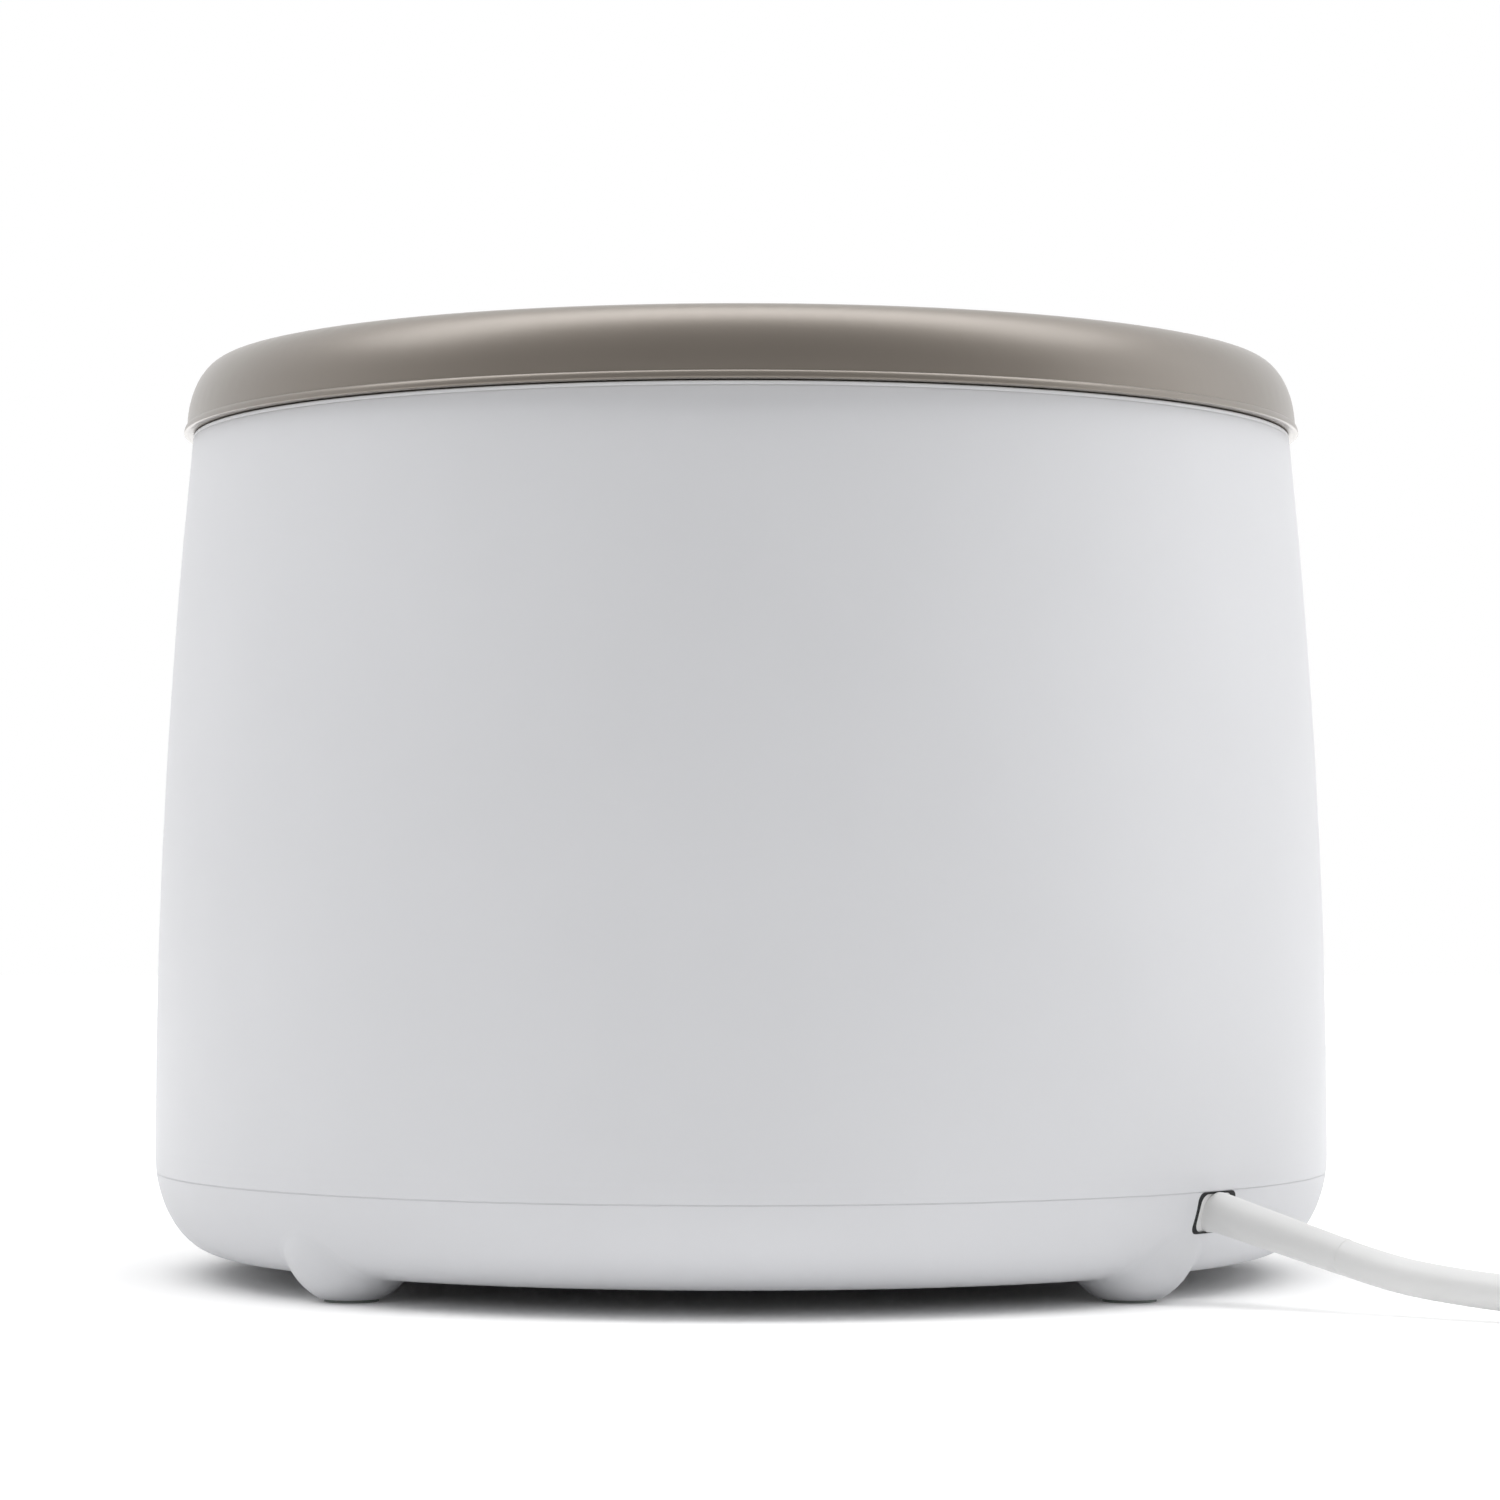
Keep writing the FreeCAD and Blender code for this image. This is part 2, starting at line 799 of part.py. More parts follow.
def make_heater_plate():
    plate = ring(heater_plate_radius, heater_bore, plate_bottom, heater_bottom)
    for place in stud_places():
        plate = plate.cut(disc(stud_radius + screw_fit, nut_bottom, well_floor_top, place))
    return plate


def make_heater_nuts():
    nuts = []
    for place in stud_places():
        corners = [polar(nut_radius, azimuth, nut_bottom) + place for azimuth in spread_azimuths(nut_sides)]
        prism = Part.Face(Part.makePolygon(corners + corners[:1])).extrude(UP * nut_height)
        nuts.append(prism.cut(disc(stud_radius + screw_fit, nut_bottom, plate_bottom, place)))
    return nuts


def make_temperature_sensor():
    top = well_floor_bottom - heater_fit
    return disc(sensor_radius, top - sensor_height, top)


def make_sensor_clip():
    """Hat-shaped spring strip across the heater's bore that presses the sensor up."""
    seat = well_floor_bottom - heater_fit - sensor_height
    span = 2 * heater_bore
    bridge = block(span, clip_width, seat - clip_thickness, seat)
    parts = [bridge]
    for side in (-1, 1):
        leg_place = Vector(side * (span - clip_thickness) / 2, 0, 0)
        parts.append(block(clip_thickness, clip_width, seat - clip_thickness, plate_bottom, leg_place))
        foot_middle = Vector(side * (span / 2 + clip_foot / 2 - clip_thickness / 2), 0, 0)
        parts.append(block(clip_foot, clip_width, plate_bottom - clip_thickness, plate_bottom, foot_middle))
    return joined(parts)


def fuse_axis_height():
    return plate_bottom - fuse_radius - heater_fit


def make_thermal_fuse():
    start = Vector(fuse_place - fuse_length / 2, 0, fuse_axis_height())
    return Part.makeCylinder(fuse_radius, fuse_length, start, Vector(1, 0, 0))


def make_fuse_clip():
    """Saddle strip round the underside of the fuse, with two ears against the plate."""
    start = Vector(fuse_place - fuse_clip_width / 2, 0, fuse_axis_height())
    inner_radius = fuse_radius + screw_fit
    outer_radius = inner_radius + clip_thickness
    saddle = Part.makeCylinder(outer_radius, fuse_clip_width, start, Vector(1, 0, 0))
    place = Vector(fuse_place, 0, 0)
    ears = block(fuse_clip_width, 2 * (outer_radius + fuse_clip_ear), plate_bottom - clip_thickness,
                 plate_bottom, place)
    below = block(fuse_clip_width, 4 * outer_radius, nut_bottom - outer_radius, plate_bottom, place)
    hollow = Part.makeCylinder(inner_radius, fuse_clip_width, start, Vector(1, 0, 0))
    slot = block(fuse_clip_width, 2 * inner_radius, fuse_axis_height(), plate_bottom, place)
    return saddle.common(below).fuse(ears).cut(hollow.fuse(slot)).removeSplitter()


# Power board

def make_power_board():
    board = block(board_length, board_width, board_bottom, board_top, Vector(board_x, board_y, 0))
    for place in board_hole_places():
        board = board.cut(disc(small_screw_radius + screw_fit, board_bottom, board_top, place))
    return board


def on_board(size, place):
    middle = Vector(board_x + place.x, board_y + place.y, 0)
    return block(size.x, size.y, board_top, board_top + size.z, middle)


def make_wire_terminal():
    """Block of screw terminals with four wire openings in its outer face."""
    body = on_board(terminal_size, terminal_place)
    for place in terminal_mouths():
        body = body.cut(Part.makeCylinder(wire_diameter / 2 + screw_fit, terminal_size.x / 2, place,
                                          Vector(1, 0, 0)))
    return body


def terminal_mouths():
    """Wire openings in the terminal block's outer face, from front to rear."""
    face_x = board_x + terminal_place.x - terminal_size.x / 2
    middle_y = board_y + terminal_place.y
    step = terminal_size.y / 4
    height = board_top + terminal_size.z / 2
    return [Vector(face_x, middle_y + step * (index - 1.5), height) for index in range(4)]


def screw_from_above(place, seat, length):
    """Small screw driven downwards with its head on the seat."""
    screw = make_screw(Vector(0, 0, 0), 0, small_screw_radius, length, small_head_radius, small_head_height)
    screw.rotate(Vector(0, 0, 0), Vector(1, 0, 0), 180)
    screw.translate(Vector(place.x, place.y, seat))
    return screw


def make_power_board_screws():
    length = min(small_screw_length, board_post_height + board_thickness - screw_fit)
    return [screw_from_above(place, board_top, length) for place in board_hole_places()]


# Control panel

def make_control_panel():
    """Bezel whose flange lies in the housing's recess and whose middle goes through the opening."""
    plate = wall_form(panel_proud).common(front_prism(panel_width, panel_tall, panel_corner, panel_height))
    plate = plate.cut(wall_form(-panel_depth))
    opening = front_prism(opening_width, opening_tall, opening_corner, panel_height)
    plate = plate.cut(wall_form(part_fit / 4 - panel_recess).cut(opening))
    hook_tall = opening_tall + 2 * (panel_gap + panel_hook_reach)
    hook_prism = front_prism(panel_hook_length, hook_tall, panel_hook_reach / 2, panel_height)
    hooks = wall_form(-shell_wall - part_fit / 3).common(hook_prism)
    hooks = hooks.cut(wall_form(part_fit / 3 - panel_depth))
    panel = joined([plate, hooks] + [control_post(place) for place in control_places()])
    window_middle = panel_height + window_raise
    sight = front_prism(window_width - 2 * window_ledge, window_tall - 2 * window_ledge,
                        window_corner / 2, window_middle)
    seat = front_prism(window_width, window_tall, window_corner, window_middle)
    holes = [sight, seat.cut(wall_form(-window_depth))]
    for place in control_places():
        holes.append(front_rod(small_screw_radius + screw_fit, place.x, place.z,
                               board_front - small_screw_length, board_front))
    for sideways in button_names.values():
        holes.append(front_rod(button_radius + button_gap, sideways, button_height, -outside, 0))
    return panel.cut(holes)


def control_places():
    inset = opening_corner * (1 - math.sqrt(0.5)) + control_post_radius + control_post_inset
    reach_x = opening_width / 2 - inset
    reach_z = opening_tall / 2 - inset
    return [Vector(sx * reach_x, 0, panel_height + sz * reach_z) for sx in (-1, 1) for sz in (-1, 1)]


def control_post(place):
    rod = front_rod(control_post_radius, place.x, place.z, -outside, board_front)
    return rod.common(wall_form(-panel_depth / 2))


def make_display_window():
    outline = front_prism(window_width - 2 * panel_gap, window_tall - 2 * panel_gap,
                          window_corner - panel_gap, panel_height + window_raise)
    return wall_form(window_proud).common(outline).cut(wall_form(part_fit / 4 - window_depth))


def make_display_module():
    panel_back = wall_radius(panel_height + window_raise, -panel_depth)
    front = display_gap - math.sqrt(panel_back ** 2 - (display_width / 2) ** 2)
    depth = board_front - front
    low = panel_height + window_raise - display_tall / 2
    middle = Vector(0, front + depth / 2, 0)
    return block(display_width, depth, low, low + display_tall, middle)


def button_flange_front(sideways):
    """Where a button's flange stops behind the curved panel."""
    reach = abs(sideways) + button_radius + button_flange
    return part_fit - math.sqrt(wall_radius(button_height, -panel_depth) ** 2 - reach ** 2)


def make_button(sideways):
    cap = front_rod(button_radius, sideways, button_height, -outside, button_flange_front(sideways))
    cap = cap.common(wall_form(panel_proud + button_proud))
    flange_start = button_flange_front(sideways)
    flange_end = flange_start + button_flange_thickness
    flange = front_rod(button_radius + button_flange, sideways, button_height, flange_start, flange_end)
    stub = front_rod(button_stub_radius, sideways, button_height, flange_start, button_back)
    return joined([cap, flange, stub])


def make_control_board():
    middle = Vector(0, board_front + board_thickness / 2, 0)
    low = panel_height - control_board_tall / 2
    board = block(control_board_width, board_thickness, low, low + control_board_tall, middle)
    for place in control_places():
        board = board.cut(front_rod(small_screw_radius + screw_fit, place.x, place.z, board_front,
                                    board_front + board_thickness))
    return board


def make_panel_socket():
    """Cable socket on the back of the control board, near its lower edge."""
    back = board_front + board_thickness
    low = panel_height - control_board_tall / 2 + socket_raise
    middle = Vector(socket_place, back + socket_size.y / 2, 0)
    return block(socket_size.x, socket_size.y, low, low + socket_size.z, middle)


def make_tact_switches():
    switches = []
    for sideways in button_names.values():
        middle = Vector(sideways, board_front - tact_height / 2, 0)
        low = button_height - tact_size / 2
        body = block(tact_size, tact_height, low, low + tact_size, middle)
        tip = board_front - tact_height - tact_plunger_height
        plunger = front_rod(tact_plunger_radius, sideways, button_height, tip, board_front - tact_height)
        switches.append(body.fuse(plunger).removeSplitter())
    return switches


def make_control_board_screws():
    screws = []
    length = small_screw_length - screw_fit + board_thickness
    for place in control_places():
        screw = make_screw(Vector(0, 0, 0), 0, small_screw_radius, length, small_head_radius,
                           small_head_height)
        screw.rotate(Vector(0, 0, 0), Vector(1, 0, 0), 90)
        screw.translate(Vector(place.x, board_front + board_thickness, place.z))
        screws.append(screw)
    return screws


# Tub, tub lid and lid

def make_tub():
    bowl = cup(tub_top_radius, tub_top_radius - tub_taper, tub_wall, tub_bottom, tub_rim_top, tub_corner)
    rim = ring(tub_rim_radius, tub_top_radius - tub_wall / 2, tub_rim_bottom, tub_rim_top)
    return joined([bowl, rim])


def make_tub_lid_seal():
    outer = tub_rim_radius - part_fit
    return ring(outer, outer - tub_seal_width, tub_seal_bottom, tub_seal_bottom + tub_seal_thickness)


def make_tub_lid():
    plate = disc(tub_lid_outer, tub_lid_under, tub_lid_top)
    skirt = ring(tub_lid_outer, tub_lid_outer - tub_lid_wall, tub_rim_bottom, tub_lid_top)
    dish_low = tub_lid_top - tub_lid_grip_depth
    dish = disc(tub_lid_grip_radius + tub_lid_wall, dish_low - tub_lid_wall, tub_lid_top)
    hollow = disc(tub_lid_grip_radius, dish_low, tub_lid_top)
    bar = block(2 * tub_lid_grip_radius + tub_lid_wall, tub_lid_grip_bar, dish_low - tub_lid_wall / 2,
                tub_lid_top)
    lid = joined([plate, skirt, dish]).cut(hollow)
    return lid.fuse(bar).removeSplitter()


def lid_form(inset):
    """Solid inside the lid's outer surface moved inwards by inset, down to the lid's lower edge."""
    side = lid_side_radius - inset
    flat = lid_side_radius - lid_shoulder_width
    shoulder_top = lid_side_bottom + lid_shoulder_rise - inset
    peak = shoulder_top + lid_dome_rise
    dome_radius = (flat ** 2 + lid_dome_rise ** 2) / (2 * lid_dome_rise)
    half = flat / 2
    half_height = peak - dome_radius + math.sqrt(dome_radius ** 2 - half ** 2)
    dome_slope = flat / (dome_radius - lid_dome_rise)
    corner = (side, shoulder_top - dome_slope * (side - flat))
    return spun(outlined([
        line((0, lid_bottom), (side, lid_bottom)),
        line((side, lid_bottom), (side, lid_side_bottom)),
        quarter_ellipse((side, lid_side_bottom), corner, (flat, shoulder_top)),
        arc((flat, shoulder_top), (half, half_height), (0, peak)),
        line((0, peak), (0, lid_bottom)),
    ]))


def make_lid():
    outer = lid_form(0)
    lip = ring(lid_rim_radius, lid_side_radius - lid_wall / 2, lid_bottom, lid_side_bottom)
    shell = outer.cut(lid_form(lid_wall))
    skirt_low = flange_top + seat_fit
    skirt = ring(skirt_outer, skirt_inner, skirt_low, lid_bottom)
    upper_skirt = ring(skirt_outer, skirt_inner, lid_bottom, lid_side_bottom + lid_shoulder_rise)
    return joined([shell, lip, skirt, upper_skirt.common(lid_form(lid_wall / 2))])


# Cord, clamp and plug

def make_strain_relief():
    """Flange inside the pan, grommet that fills the notch, bend at the wall, drooping tapered sleeve."""
    bend = along_exit(body_radius, 0, cord_exit_height)
    inner = relief_flange_inner()
    flange_start = along_exit(inner, 0, cord_exit_height)
    flange = Part.makeCylinder(relief_flange_radius, relief_flange_thickness, flange_start, exit_direction)
    passage = Part.makeCylinder(relief_radius, body_radius - inner, flange_start, exit_direction)
    grommet_width = notch_width - 2 * grommet_gap
    grommet = exit_bar(grommet_width, 2 * relief_radius).common(body_form(-grommet_recess))
    elbow = Part.makeSphere(relief_radius, bend)
    cone = Part.makeCone(relief_radius, relief_end_radius, relief_length, bend, relief_way())
    return joined([flange, passage, grommet, elbow, cone])


def relief_way():
    droop = math.radians(relief_droop)
    return exit_direction * math.cos(droop) - UP * math.sin(droop)


def relief_end():
    return along_exit(body_radius, 0, cord_exit_height) + relief_way() * relief_length


def make_cord_clamp():
    split = cord_exit_height - clamp_split
    bar = clamp_block(split, split + clamp_thickness, clamp_length)
    bar = bar.cut(inner_cord(cord_diameter + 2 * screw_fit))
    for place in clamp_places():
        bar = bar.cut(disc(small_screw_radius + screw_fit, split, split + clamp_thickness, place))
    return bar


def make_cord_clamp_screws():
    seat = cord_exit_height - clamp_split + clamp_thickness
    return [screw_from_above(place, seat, small_screw_length + clamp_thickness) for place in clamp_places()]


# The free cord's route: distance along the exit, place to the left, height
cord_route = [
    (140.0, 0.3, 5.3),
    (151.0, 0.9, 4.4),
    (163.0, 2.6, 4.0),
    (174.0, 5.8, coil_lift + cord_radius),
    (184.5, 10.6, coil_lift + cord_radius),
    (194.5, 16.8, coil_lift + cord_radius),
]


def cord_points():
    first = relief_end() + relief_way() * cord_first_run
    return [relief_end(), first] + [along_exit(*place) for place in cord_route]


def coil_heading():
    last_run = cord_points()[-1] - cord_points()[-2]
    return math.degrees(math.atan2(last_run.y, last_run.x))


# Coil: spirals in on the lower layer, climbs in half a turn, spirals out on the upper layer
coil_first_angle = math.radians(coil_heading() - 90)
coil_sweep = math.radians(coil_end_heading - coil_heading()) + 2 * math.pi * coil_turns
layer_sweep = (coil_sweep - math.pi) / 2
coil_inner_radius = coil_mean_radius - coil_pitch * layer_sweep / (4 * math.pi)
coil_outer_radius = coil_mean_radius + coil_pitch * layer_sweep / (4 * math.pi)
coil_start = cord_points()[-1] + polar(cord_diameter, coil_heading())
coil_centre = coil_start - polar(coil_outer_radius, math.degrees(coil_first_angle))


def coil_point(sweep):
    rate = coil_pitch / (2 * math.pi)
    if sweep <= layer_sweep:
        radius = coil_outer_radius - rate * sweep
        climb = 0.0
    elif sweep <= layer_sweep + math.pi:
        turn = sweep - layer_sweep
        radius = coil_inner_radius - rate * (turn - turn ** 2 / math.pi)
        share = turn / math.pi
        climb = coil_layer * (3 * share ** 2 - 2 * share ** 3)
    else:
        radius = coil_inner_radius + rate * (sweep - layer_sweep - math.pi)
        climb = coil_layer
    return coil_centre + polar(radius, math.degrees(coil_first_angle + sweep), climb)


def coil_way(sweep):
    step = 0.0005
    return (coil_point(sweep + step) - coil_point(sweep - step)).normalize()


def coil_nodes():
    """Sweeps at the ends of the coil's quarter turns."""
    stops = [0.0, layer_sweep, layer_sweep + math.pi, coil_sweep]
    nodes = [0.0]
    for start, end in zip(stops, stops[1:]):
        steps = math.ceil((end - start) / (math.pi / 2) - 1e-6)
        nodes += [start + (end - start) * (index + 1) / steps for index in range(steps)]
    return nodes


def plug_axis_height():
    return plug_thickness / 2 + plug_floor_gap


def coil_end():
    """Place and direction of the cord where it meets the plug."""
    way = polar(1, coil_end_heading)
    last = coil_point(coil_sweep) + way * coil_tail
    last = Vector(last.x, last.y, plug_axis_height())
    return last, way


def make_cord_coil():
    heading = polar(1, coil_heading())
    nodes = coil_nodes()
    points = [coil_point(sweep) for sweep in nodes]
    ways = [coil_way(sweep) for sweep in nodes]
    ways[0] = heading
    tail_end, tail_way = coil_end()
    ways[-1] = tail_way
    points.append(tail_end)
    ways.append(tail_way)
    edges = [Part.makeLine(cord_points()[-1], points[0])]
    for index in range(len(points) - 1):
        edges += biarc(points[index], ways[index], points[index + 1], ways[index + 1])
    edges.append(Part.makeLine(tail_end, tail_end + tail_way * cord_diameter))
    solid, length, share = swept(edges, cord_diameter, heading)
    print("cord_coil: %.1f mm long, volume share %.4f" % (length, share))
    print("cord_coil: least gap to itself %.2f mm" % least_self_gap(edges))
    return solid


def least_self_gap(edges):
    """Least clear distance between stretches of the cord that lie well apart along it."""
    spacing = 2.0
    samples = []
    travelled = 0.0
    for edge in edges:
        count = max(2, int(edge.Length / spacing))
        for index in range(count):
            share = index / count
            place = edge.valueAt(edge.FirstParameter + (edge.LastParameter - edge.FirstParameter) * share)
            samples.append((travelled + edge.Length * share, place))
        travelled += edge.Length
    apart = 6 * cord_diameter
    gaps = []
    for index, (first_way, first_place) in enumerate(samples):
        far_ones = [place for way, place in samples[index + 1:] if way - first_way > apart]
        gaps += [(place - first_place).Length for place in far_ones]
    return min(gaps) - cord_diameter


def make_coil_tie():
    """Flat band round all the turns at one place of the coil."""
    angle = tie_angle
    sweep_there = (math.radians(angle) - coil_first_angle) % (2 * math.pi)
    turn_radii = []
    sweep = sweep_there
    while sweep < coil_sweep:
        turn_radii.append((coil_point(sweep) - coil_centre).Length)
        sweep += 2 * math.pi
    low = coil_lift - tie_gap
    high = coil_lift + cord_diameter + coil_layer + tie_gap
    near = min(turn_radii) - cord_radius - tie_side_gap
    far = max(turn_radii) + cord_radius + tie_side_gap
    inner = rounded_face(far - near, high - low, cord_radius)
    outer = rounded_face(far - near + 2 * tie_thickness, high - low + 2 * tie_thickness,
                         cord_radius + tie_thickness)
    band = outer.cut(inner)
    band.rotate(Vector(0, 0, 0), Vector(1, 0, 0), 90)
    band.translate(Vector((near + far) / 2, tie_width / 2, (low + high) / 2))
    solid = band.extrude(Vector(0, -tie_width, 0))
    solid.rotate(Vector(0, 0, 0), UP, angle)
    solid.translate(Vector(coil_centre.x, coil_centre.y, 0))
    return solid


def placed_at_plug(shape):
    """Moves a shape made along +X from the cord's end to where the plug lies."""
    tail_end, way = coil_end()
    start = tail_end + way * cord_diameter
    shape.rotate(Vector(0, 0, 0), UP, coil_end_heading)
    shape.translate(start)
    return shape


def make_plug_body():
    """Flat two-pin plug: a boot on the cord, sides that widen to shoulders, and a narrower pin face."""
    end = plug_boot_length + plug_length
    shoulder = end - plug_shoulder
    side = shoulder - plug_side
    half = [
        (plug_boot_length, plug_neck_width / 2),
        (side, plug_width / 2),
        (shoulder, plug_width / 2),
        (end, plug_face_width / 2),
    ]
    outline = half + [(x, -y) for x, y in reversed(half)]
    corners = [Vector(x, y, -plug_thickness / 2) for x, y in outline]
    body = Part.Face(Part.makePolygon(corners + corners[:1])).extrude(UP * plug_thickness)
    soft_edges = [edge for edge in body.Edges if edge.BoundBox.XMin < end - 0.01]
    body = body.makeFillet(plug_round, soft_edges)
    boot = Part.makeCone(cord_radius + 2 * part_fit, plug_boot_radius, plug_boot_length + plug_round,
                         Vector(0, 0, 0), Vector(1, 0, 0))
    return placed_at_plug(joined([body, boot]))


def make_plug_pins():
    face = plug_boot_length + plug_length
    pins = []
    for side in (-1, 1):
        start = Vector(face, side * plug_pin_spacing / 2, 0)
        pin = Part.makeCylinder(plug_pin_radius, plug_pin_length - plug_pin_radius, start, Vector(1, 0, 0))
        tip_place = start + Vector(plug_pin_length - plug_pin_radius, 0, 0)
        pins.append(placed_at_plug(pin.fuse(Part.makeSphere(plug_pin_radius, tip_place)).removeSplitter()))
    return pins


# Wiring inside the housing

def mains_wire(side):
    """One core from the cord's inner end to the rear half of the terminal block."""
    inner_end = relief_flange_inner() - cord_inner_length
    start = along_exit(inner_end, side * wire_spacing / 2, cord_exit_height)
    mouth = terminal_mouths()[2 if side > 0 else 3]
    return [
        start,
        start - exit_direction * mains_wire_start,
        mouth + Vector(-mains_wire_end, 0, 0),
        mouth,
    ]


def heater_wires():
    """Leads from the front half of the terminal block to the heater tabs, one of them through the fuse."""
    mouths = terminal_mouths()
    tabs = [place + UP * (heater_bottom - tab_length) for place in tab_places()]
    fuse_near = Vector(fuse_place + fuse_length / 2, 0, fuse_axis_height())
    fuse_far = Vector(fuse_place - fuse_length / 2, 0, fuse_axis_height())
    plain_lead = [
        mouths[0],
        mouths[0] + Vector(-heater_lead_start, 0, 0),
        tabs[0] + Vector(0, 0, -heater_lead_drop),
        tabs[0],
    ]
    fuse_lead = [
        mouths[1],
        mouths[1] + Vector(-fuse_lead_end, 0, 0),
        fuse_near + Vector(fuse_lead_end, 0, 0),
        fuse_near,
    ]
    tab_lead = [
        fuse_far,
        fuse_far + Vector(-tab_lead_start, 0, 0),
        tabs[1] + Vector(-tab_lead_aside, -tab_lead_bend, -tab_lead_bend),
        tabs[1] + Vector(0, 0, -tab_lead_bend),
        tabs[1],
    ]
    return [plain_lead, fuse_lead, tab_lead]


def sensor_lead():
    """Lead from the side of the sensor, under the heater plate and down to its header."""
    start = Vector(0, -sensor_radius, well_floor_bottom - heater_fit - sensor_height / 2)
    header_top = on_board(header_size, sensor_header_place).BoundBox
    end = Vector(header_top.Center.x, header_top.Center.y, header_top.ZMax)
    return [
        start,
        start + Vector(0, -3.5, 0),
        start + Vector(-1, -8, -4.5),
        end + Vector(0, 0, 5.5),
        end,
    ]


def panel_cable():
    """Cable from the control board's socket down inside the wall and across the pan to its header."""
    socket = make_panel_socket().BoundBox
    start = Vector(socket.Center.x, socket.Center.y, socket.ZMin)
    header = on_board(header_size, panel_header_place).BoundBox
    end = Vector(header.Center.x, header.YMin, header.Center.z)
    return [
        start,
        start + Vector(0, 0, -11),
        start + Vector(0.4, -0.7, -24),
        Vector(start.x, start.y + 4.5, nut_bottom - 1),
        Vector(start.x - 1, start.y + 17, end.z + 4),
        Vector((start.x + end.x) / 2, (start.y + end.y) / 2, end.z + 1.5),
        end + Vector(0, -13, 0),
        end,
    ]


if __name__ == "__main__":
    os.makedirs("parts", exist_ok=True)
    save("housing", make_housing())
    save("base_pan", make_base_pan())
    for foot_name, foot_azimuth in foot_names.items():
        save(foot_name, make_foot_pad(foot_azimuth))
    save_group("base_screws", make_base_screws())
    save("inner_well", make_inner_well())
    save("well_gasket", make_well_gasket())
    save("heating_element", make_heating_element())
    save("heater_plate", make_heater_plate())
    save_group("heater_nuts", make_heater_nuts())
    save("temperature_sensor", make_temperature_sensor())
    save("sensor_clip", make_sensor_clip())
    save("thermal_fuse", make_thermal_fuse())
    save("fuse_clip", make_fuse_clip())
    save("power_board", make_power_board())
    save("relay", on_board(relay_size, relay_place))
    save("capacitor", on_board(capacitor_size, capacitor_place))
    save("wire_terminal", make_wire_terminal())
    save("sensor_header", on_board(header_size, sensor_header_place))
    save("panel_header", on_board(header_size, panel_header_place))
    save_group("power_board_screws", make_power_board_screws())
    save("control_panel", make_control_panel())
    save("display_window", make_display_window())
    save("display_module", make_display_module())
    for button_name, button_place in button_names.items():
        save(button_name, make_button(button_place))
    save("control_board", make_control_board())
    save("panel_socket", make_panel_socket())
    save_group("tact_switches", make_tact_switches())
    save_group("control_board_screws", make_control_board_screws())
    save("tub", make_tub())
    save("tub_lid", make_tub_lid())
    save("tub_lid_seal", make_tub_lid_seal())
    save("lid", make_lid())
    save("strain_relief", make_strain_relief())
    save("cord_inner_end", inner_cord(cord_diameter))
    save("cord_clamp", make_cord_clamp())
    save_group("cord_clamp_screws", make_cord_clamp_screws())
    save("power_cord", make_tube("power_cord", cord_points(), cord_diameter))
    save("cord_coil", make_cord_coil())
    save("coil_tie", make_coil_tie())
    save("plug_body", make_plug_body())
    save_group("plug_pins", make_plug_pins())
    save_group("mains_wires", [make_tube("mains_wire", mains_wire(side), wire_diameter) for side in (-1, 1)])
    save_group("heater_wires", [make_tube("heater_wire", route, wire_diameter) for route in heater_wires()])
    save("sensor_lead", make_tube("sensor_lead", sensor_lead(), wire_diameter))
    save("panel_cable", make_tube("panel_cable", panel_cable(), cable_diameter))
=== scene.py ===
import json
import math

import bmesh
import bpy
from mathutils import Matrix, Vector
from mathutils.bvhtree import BVHTree


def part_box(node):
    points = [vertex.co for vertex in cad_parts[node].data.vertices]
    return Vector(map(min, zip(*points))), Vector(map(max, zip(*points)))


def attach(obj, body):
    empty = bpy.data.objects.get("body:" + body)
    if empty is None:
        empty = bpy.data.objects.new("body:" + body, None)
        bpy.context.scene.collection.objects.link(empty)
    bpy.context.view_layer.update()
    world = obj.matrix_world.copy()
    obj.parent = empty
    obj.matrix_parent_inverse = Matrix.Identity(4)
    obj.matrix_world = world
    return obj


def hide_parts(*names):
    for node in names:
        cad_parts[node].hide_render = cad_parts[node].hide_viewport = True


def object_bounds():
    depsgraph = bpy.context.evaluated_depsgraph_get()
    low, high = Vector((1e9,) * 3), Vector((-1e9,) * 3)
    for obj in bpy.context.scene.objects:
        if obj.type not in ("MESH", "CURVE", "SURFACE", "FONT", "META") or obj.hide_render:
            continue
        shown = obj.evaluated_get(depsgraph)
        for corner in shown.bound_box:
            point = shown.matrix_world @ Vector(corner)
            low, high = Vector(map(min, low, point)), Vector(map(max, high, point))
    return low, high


# Round yogurt maker: white body on domed feet, taupe lid, cord that leaves to the rear left.
# Metres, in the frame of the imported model: +Z up, controls towards -Y, the photographed back towards +Y.

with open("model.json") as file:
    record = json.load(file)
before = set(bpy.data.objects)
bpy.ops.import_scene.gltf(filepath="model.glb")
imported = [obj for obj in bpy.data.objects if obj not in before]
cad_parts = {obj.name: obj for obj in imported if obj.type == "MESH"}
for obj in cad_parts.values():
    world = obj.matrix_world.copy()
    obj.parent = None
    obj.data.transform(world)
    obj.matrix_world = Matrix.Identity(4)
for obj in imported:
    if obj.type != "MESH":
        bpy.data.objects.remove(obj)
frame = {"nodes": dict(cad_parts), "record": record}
cad_low, cad_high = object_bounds()
nodes = frame["nodes"]
MM = 0.001
UP = Vector((0, 0, 1))
INWARDS = Vector((0, 1, 0))

# Camera of the photograph, behind the object
picture_side = 1500.0
sensor_side = 36.0
focal_pixels = 4495.0
camera_distance = 775.0 * MM
camera_height = 63.3 * MM
camera_aside = -1.5 * MM
camera_tilt = 0.0335
camera_near = 0.01
camera_far = 100.0

